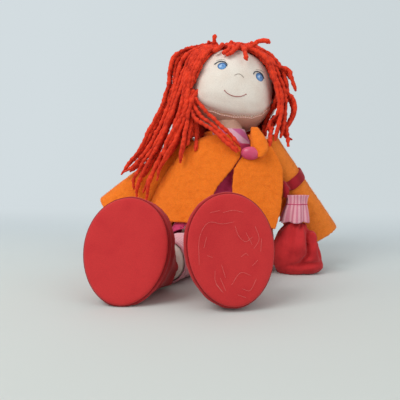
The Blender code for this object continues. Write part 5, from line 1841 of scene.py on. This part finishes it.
@dataclass
class Hair:
    """Twisted chenille yarn: rooted locks, hanging bundles and a core under them."""

    workshop: Workshop
    head: Head
    radius: float = 0.0024
    back_radius: float = 0.0027
    # Length of one twist of the yarn
    twist_length: float = 0.013
    # Heights where a bundle passes from body to body
    neck_cut: float = 0.155
    sleeve_cut: float = 0.125
    # How far forward the cap's core may come, as a share of the head's depth
    cheek_line: float = 0.1
    # Length cut off the back core's foot, so that only strands hang there
    core_trim: float = 0.02
    nape_count: int = 12

    def build(self) -> None:
        """Build the cap, the bundles and the loose locks."""
        self.build_cap()
        self.build_bundle("right", ["hair_bundle_right"], (0.0055, 0.011))
        self.build_bundle("left", ["hair_bundle_left"], (0.0055, 0.011))
        self.build_bundle("chest", ["hair_bundle_chest", "hair_bundle_cross"], (), 0.95)
        self.build_back()
        self.build_locks()

    def strands(self, key: str) -> list[list[list[float]]]:
        """Fine routes of a table's strands, in metres."""
        return [[[c * 0.01 for c in place] for place in smooth_path(strand, 6)] for strand in STRANDS[key]]

    def behind(self, routes: Paths, back: float, seed: float) -> list[list[list[float]]]:
        """A further layer of strands behind the first, each a little shorter.

        Args:
            routes: The first layer.
            back: How far behind it hangs.
            seed: Picks its lengths and shifts.

        Returns:
            Routes of the layer.
        """
        layer = []
        for number, route in enumerate(routes):
            keep = int(len(route) * (0.8 + 0.18 * noise.cell(Vector((number, seed, 0)))))
            shift = 0.004 * ripple(Vector((number * 0.37, seed, 0)), 0.5, seed)
            layer.append([[p[0] + shift, p[1] + back, p[2] - 0.001] for p in route[:keep]])
        return layer

    def yarn(self, name: str, routes: Paths, radius: float, step: float = 0.001) -> Object:
        """Sweep the twisted yarn along routes.

        Args:
            name: The piece's name.
            routes: Each strand's points.
            radius: The yarn's radius.
            step: Length between its rings.

        Returns:
            The strands as one piece.
        """
        return self.workshop.yarn.apply(
            name, path_object(f"{name}_path", routes), YARN, Radius=radius, Step=step,
            Twist=tau / self.twist_length, Lump=1.05, Wander=0.0042, Pile=0.0017, Flatten=0.88)

    def build_cap(self) -> None:
        """The core under the strands, and strands laid from the parting over the head."""
        form = soft_copy("hair_cap", 0.0014, 6)
        sculpt(form.data, lambda p, n: -0.0008 + self.ridge(p))
        for vertex in form.data.vertices:
            vertex.co = self.comb_back(vertex.co)
        # The core has no lump attribute, so its material gives it the yarn's darker colour all over: painted
        # shade between the strands
        core = link_mesh("hair_cap_core", evaluated(form), YARN)
        dress(core, "head", "hair_yarn", ["hair_cap"])
        routes = [self.cap_route(side, row / 15)
                  for side, first in ((Side.RIGHT, 6), (Side.LEFT, 4)) for row in range(first, 21)]
        dress(self.yarn("hair_cap_strands", routes, self.back_radius), "head", "hair_yarn")

    def ridge(self, place: Vector) -> float:
        """Ridges down a core, as wide as the yarn."""
        return 0.0011 * sin(pi * place.x / self.radius + 2 * ripple(place, 0.012)) - 0.0004

    def comb_back(self, place: Vector) -> Vector:
        """Draw the core's rim back from the cheek, where the strands leave the face bare.

        Args:
            place: A place on the core.

        Returns:
            Where it goes.
        """
        head = self.head
        local = head.local(place)
        share = Vector((local.x / head.half_width, local.y / head.half_depth, local.z / head.half_height))
        size = share.length
        unit = share.normalized()
        limit = self.cheek_line - 0.5 * max(0.0, unit.z - 0.55)
        if unit.x > 0 or unit.y > limit:
            return place
        unit.y = limit + 0.08 * (unit.y - limit)
        share = unit.normalized() * size
        return Vector(head.centre) + head.rotation @ Vector(
            (share.x * head.half_width, share.y * head.half_depth, share.z * head.half_height))

    def cap_route(self, side: Side, back: float) -> list[Vector]:
        """A strand laid from the parting down one side of the head.

        Args:
            side: Which side it falls to.
            back: From 0 at the brow to 1 at the crown's back.

        Returns:
            Points over the head's surface.
        """
        root = -0.62 + 1.1 * min(back, 1.08)
        late = max(0.0, back - 0.7)
        route = []
        for step in range(15):
            t = step / 14
            fall = t * (1.22 + 0.28 * sin(pi * min(back, 1.0)) + 0.5 * late)
            x = side.sign * (0.03 + sin(fall * 1.25))
            y = root + (0.3 + 0.3 * back + 0.9 * late) * t
            z = cos(fall * 1.25) * (0.98 - 0.12 * abs(root)) - 0.5 * late * t
            lift = 0.0036 + 0.0022 * sin(pi * t)
            lift += 0.0008 * ripple(Vector((back * 9, t, side.sign)), 0.4)
            route.append(self.head.around((x, y, z), lift))
        return route

    def build_bundle(self, key: str, nodes: Sequence[str], layers: Sequence[float],
                     slim: float = 1.0) -> None:
        """One hanging bundle, cut where it passes from body to body.

        Args:
            key: Its table.
            nodes: The CAD nodes it stands for.
            layers: How far behind the first layer each further one hangs.
            slim: Share of the hair's own yarn radius.
        """
        front = self.strands(key)
        routes = list(front)
        for number, back in enumerate(layers):
            routes += self.behind(front, back, 3.0 + 2 * number)
        yarn = self.yarn(f"{nodes[0]}_strands", routes, self.radius * slim)
        self.share_out(yarn, nodes, key == "right")

    def share_out(self, piece: Object, nodes: Sequence[str], sleeve: bool) -> None:
        """Cut a hanging piece at the neck, and at the sleeve, and keep each length as a piece of its own.

        Args:
            piece: The piece, which is used up.
            nodes: The CAD nodes it stands for.
            sleeve: Whether its tips lie on the right sleeve.
        """
        cuts = [1.0, self.neck_cut, self.sleeve_cut, -1.0] if sleeve else [1.0, self.neck_cut, -1.0]
        for number, (top, bottom) in enumerate(zip(cuts, cuts[1:])):
            mesh = slab(piece.data, bottom, top)
            if not mesh.polygons:
                continue
            length = link_mesh(f"{piece.name}_{number}", mesh)
            dress(length, None, "hair_yarn", nodes)
            if number == 0:
                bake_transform(length)
            elif number == 1:
                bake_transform(length)
            else:
                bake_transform(length)
        bpy.data.objects.remove(piece, do_unlink=True)

    def build_back(self) -> None:
        """The curtain of strands down the back."""
        form = soft_copy("hair_bundle_back", 0.0014, 6)
        sculpt(form.data, lambda p, n: -0.0056 - 0.003 * clamp((p.z - 0.175) / 0.02) + self.ridge(p))
        shape = evaluated(form)
        low = min(vertex.co.z for vertex in shape.vertices)
        # This core also takes the yarn's darker colour all over: painted shade between the strands
        core = link_mesh("hair_bundle_back_core", slab(shape, low + self.core_trim, 1.0), YARN)
        routes = []
        for layer, (count, depth) in enumerate(BACK_LAYERS):
            for number in range(count):
                routes.append(self.back_route(2 * number / (count - 1) - 1, depth, layer * 40 + number))
        for side in Side:
            for number in range(self.nape_count):
                routes.append(self.nape_route(side, number / (self.nape_count - 1)))
        yarn = self.yarn("hair_bundle_back_strands", routes, self.back_radius, 0.0014)
        self.share_out(core, ["hair_bundle_back"], False)
        self.share_out(yarn, ["hair_bundle_back"], False)

    def over_head(self, angle: float, polars: Sequence[int], lift: float) -> list[Vector]:
        """The upper end of a strand that falls behind the head.

        Args:
            angle: Its turn about the upright from straight back.
            polars: Angles of its points from the crown, in degrees.
            lift: Height above the skin.

        Returns:
            The points.
        """
        turned = self.head.rotation.transposed()
        ways = [Vector((sin(a) * sin(angle), sin(a) * cos(angle), cos(a))) for a in map(radians, polars)]
        return [self.head.around(turned @ way, lift) for way in ways]

    def back_route(self, share: float, depth: float, seed: int) -> list[list[float]]:
        """One strand from the crown over the nape and down the back.

        Args:
            share: From -1 at the doll's right edge to 1 at its left.
            depth: Distance outside the bundle's middle.
            seed: Number of the strand.

        Returns:
            Fine points of its route.
        """
        unit = self.head.half_width
        centre = Vector(self.head.centre)
        route = self.over_head(radians(78) * share, (20, 45, 68, 90), 0.0105 + 0.5 * max(0.0, depth))
        stations = ((-0.42, 1.14, 0.76), (-0.88, 1.02, 0.86), (-1.44, 0.92, 0.88), (-2.04, 0.88, 0.78),
                    (-2.46, 0.86, 0.6))
        length = 0.8 + 0.2 * noise.cell(Vector((seed * 1.3, 0.2, 0.7)))
        for up, back, half in stations:
            if up < stations[-1][0] * length - 0.1:
                break
            sway = 0.0022 * ripple(Vector((seed * 0.71, up, 0.0)), 0.9)
            curve = -0.16 * share ** 2
            route.append(centre + Vector(((half * share - 0.05) * unit + sway,
                                          (back + curve) * unit + depth, up * unit)))
        return smooth_path(route, 6)

    def nape_route(self, side: Side, share: float) -> list[list[float]]:
        """A short strand from the crown over the side of the head to the nape.

        Args:
            side: Which side of the head.
            share: From 0 beside the back bundle to 1 behind the ear.

        Returns:
            Fine points of its route.
        """
        unit = self.head.half_width
        centre = Vector(self.head.centre)
        angle = radians(48 + 54 * share) * side.sign
        route = self.over_head(angle, (22, 44, 66, 88, 106), 0.011 - 0.0054 * share)
        low = 0.1 * noise.cell(Vector((share * 7.3, side.sign, 0.4)))
        for up, out, back in ((-0.72, 0.84, 0.84), (-1.28 + low, 0.76, 0.84)):
            route.append(centre + unit * Vector((side.sign * out, back - 0.84 * share, up)))
        return smooth_path(route, 6)

    def build_locks(self) -> None:
        """Tufts and curls that stand off the crown and brow."""
        locks = self.strands("tuft")
        piece = self.yarn("hair_locks", locks, self.radius * 1.03)
        dress(piece, "head", "hair_yarn", ["hair_tuft_crown", "hair_tuft_fringe", "hair_curl_top",
                                           "hair_curl_side"])


def slab(mesh: Mesh, bottom: float, top: float) -> Mesh:
    """The part of a closed mesh between two heights, closed again.

    Args:
        mesh: The mesh.
        bottom: The lower height.
        top: The upper height.

    Returns:
        A new mesh, which can be empty.
    """
    edit = bmesh.new()
    edit.from_mesh(mesh)
    for height, up in ((bottom, -1), (top, 1)):
        every = list(edit.verts) + list(edit.edges) + list(edit.faces)
        cut = bmesh.ops.bisect_plane(
            edit, geom=every, dist=1e-7, plane_co=(0, 0, height), plane_no=(0, 0, up), clear_outer=True)
        rims = [e for e in cut["geom_cut"] if isinstance(e, bmesh.types.BMEdge) and e.is_boundary]
        if rims:
            bmesh.ops.holes_fill(edit, edges=rims, sides=0)
    part = mesh.copy()
    edit.to_mesh(part)
    edit.free()
    return part


@dataclass
class Studio:
    """Floor sweep, lamps, even surroundings and the camera."""

    camera_place: Point = (0.0463, -0.47316, 0.0985)
    azimuth: float = radians(8.0)
    pitch: float = radians(2.433)
    lens: float = 36.0

    def build(self) -> None:
        """Build the studio round the doll."""
        self.build_camera()
        self.build_sweep()
        self.build_light()

    def build_camera(self) -> None:
        """The camera that took the photo."""
        data = bpy.data.cameras.new("camera")
        data.lens = self.lens
        data.sensor_width = 36.0
        data.clip_start = 0.01
        camera = add_object("camera", data)
        ahead = Vector((-sin(self.azimuth) * cos(self.pitch),
                        cos(self.azimuth) * cos(self.pitch), -sin(self.pitch)))
        camera.location = self.camera_place
        camera.rotation_euler = ahead.to_track_quat("-Z", "Y").to_euler()
        bpy.context.scene.camera = camera

    def build_sweep(self) -> None:
        """A pale paper floor that curves up into the backdrop."""
        profile = ((-1.6, 0.0), (-0.6, 0.0), (0.0, 0.0), (0.45, 0.0), (0.7, 0.012), (0.92, 0.05),
                   (1.1, 0.13), (1.22, 0.27), (1.28, 0.5), (1.3, 1.0), (1.3, 2.2))
        rows = [[Vector((x, distance, height)) for x in (-3.0, -1.5, -0.5, 0.5, 1.5, 3.0)]
                for distance, height in profile]
        mesh = bpy.data.meshes.new("paper_sweep")
        width = len(rows[0])
        faces = [(r * width + c, r * width + c + 1, (r + 1) * width + c + 1, (r + 1) * width + c)
                 for r in range(len(rows) - 1) for c in range(width - 1)]
        mesh.from_pydata([tuple(p) for row in rows for p in row], [], faces)
        sweep = link_mesh("paper_sweep", mesh)
        mesh.materials.append(self.paper())

    def paper(self) -> Material:
        """Matt paper: cool grey-blue behind, warmer towards the camera.

        Returns:
            A node material on Object coordinates, whose far end glows for the camera, a little darker towards
            the doll's left as painted shade.
        """
        material, tree, shader = new_material("matt_paper")
        place = add_node(tree, "TexCoord")
        split = add_node(tree, "SeparateXYZ", links={0: place.outputs["Object"]})
        share = add_node(
            tree, "MapRange", {"From Min": -0.3, "From Max": 0.45, "interpolation_type": "SMOOTHSTEP"},
            {"Value": split.outputs[1]})
        mix = add_node(tree, "Mix", {"data_type": "RGBA", 6: linear("#d0d5d0"), 7: linear("#d2dadc")},
                       {0: share.outputs[0]})
        tree.links.new(mix.outputs[2], shader.inputs["Base Color"])
        adjust(shader, {"Roughness": 0.9, "Specular IOR Level": 0.1})
        # Painted shade: the glow darkens from the doll's right, where the key lamp hangs, to its left
        side = add_node(tree, "MapRange", {"From Min": -0.9, "From Max": 0.9}, {"Value": split.outputs[0]})
        glow = add_node(tree, "Mix", {"data_type": "RGBA", 6: linear("#d3dce0"), 7: linear("#ccd5d8")},
                        {0: side.outputs[0]})
        lit = add_node(tree, "Emission", {"Strength": 1.0}, {"Color": glow.outputs[2]})
        ray = add_node(tree, "LightPath")
        far = add_node(
            tree, "MapRange", {"From Min": 0.2, "From Max": 0.75, "interpolation_type": "SMOOTHSTEP"},
            {"Value": split.outputs[1]})
        seen = add_node(tree, "Math", {"operation": "MULTIPLY"},
                        {0: far.outputs[0], 1: ray.outputs["Is Camera Ray"]})
        blend = add_node(
            tree, "MixShader", links={0: seen.outputs[0], 1: shader.outputs[0], 2: lit.outputs[0]})
        tree.links.new(blend.outputs[0], tree.nodes["Material Output"].inputs["Surface"])
        return material

    def build_light(self) -> None:
        """One large soft key from the upper left, a weaker fill, and even surroundings."""
        world = bpy.data.worlds.new("surroundings")
        world.use_nodes = True
        adjust(world.node_tree.nodes["Background"], {"Color": linear("#eef1f4"), "Strength": 0.62})
        bpy.context.scene.world = world
        self.lamp("key", (-0.75, -0.95, 1.15), (0.0, 0.0, 0.1), 0.9, 13.0)
        self.lamp("fill", (1.1, -0.9, 0.7), (0.0, 0.0, 0.1), 1.1, 4.2)
        self.lamp("backdrop", (-0.2, 0.55, 1.3), (0.0, 1.2, 0.35), 1.2, 2.5)
        bpy.context.scene.view_settings.view_transform = "Standard"

    def lamp(self, name: str, place: Point, target: Point, size: float, power: float) -> None:
        """Hang one square soft lamp.

        Args:
            name: The lamp's name.
            place: Where it hangs.
            target: What it faces.
            size: Its side.
            power: Watts.
        """
        data = bpy.data.lights.new(name, "AREA")
        data.size = size
        data.energy = power
        lamp = add_object(name, data)
        lamp.location = place
        lamp.rotation_euler = (Vector(target) - Vector(place)).to_track_quat("-Z", "Y").to_euler()


class Doll:
    """The whole rag doll."""

    def __init__(self) -> None:
        """Set up the shared workshop and the sub-assemblies."""
        workshop = Workshop()
        head = Head(workshop)
        self.parts = [head, Body(workshop), Clothes(workshop), Shoes(workshop), Bag(workshop),
                      Hair(workshop, head)]

    def build(self) -> None:
        """Build every sub-assembly."""
        for part in self.parts:
            LOG.info("building %s", type(part).__name__)
            part.build()


def main() -> None:
    """Build the picture."""
    logging.basicConfig(level=logging.INFO, format="%(message)s")
    Studio().build()
    Doll().build()


if __name__ == "__main__":
    main()
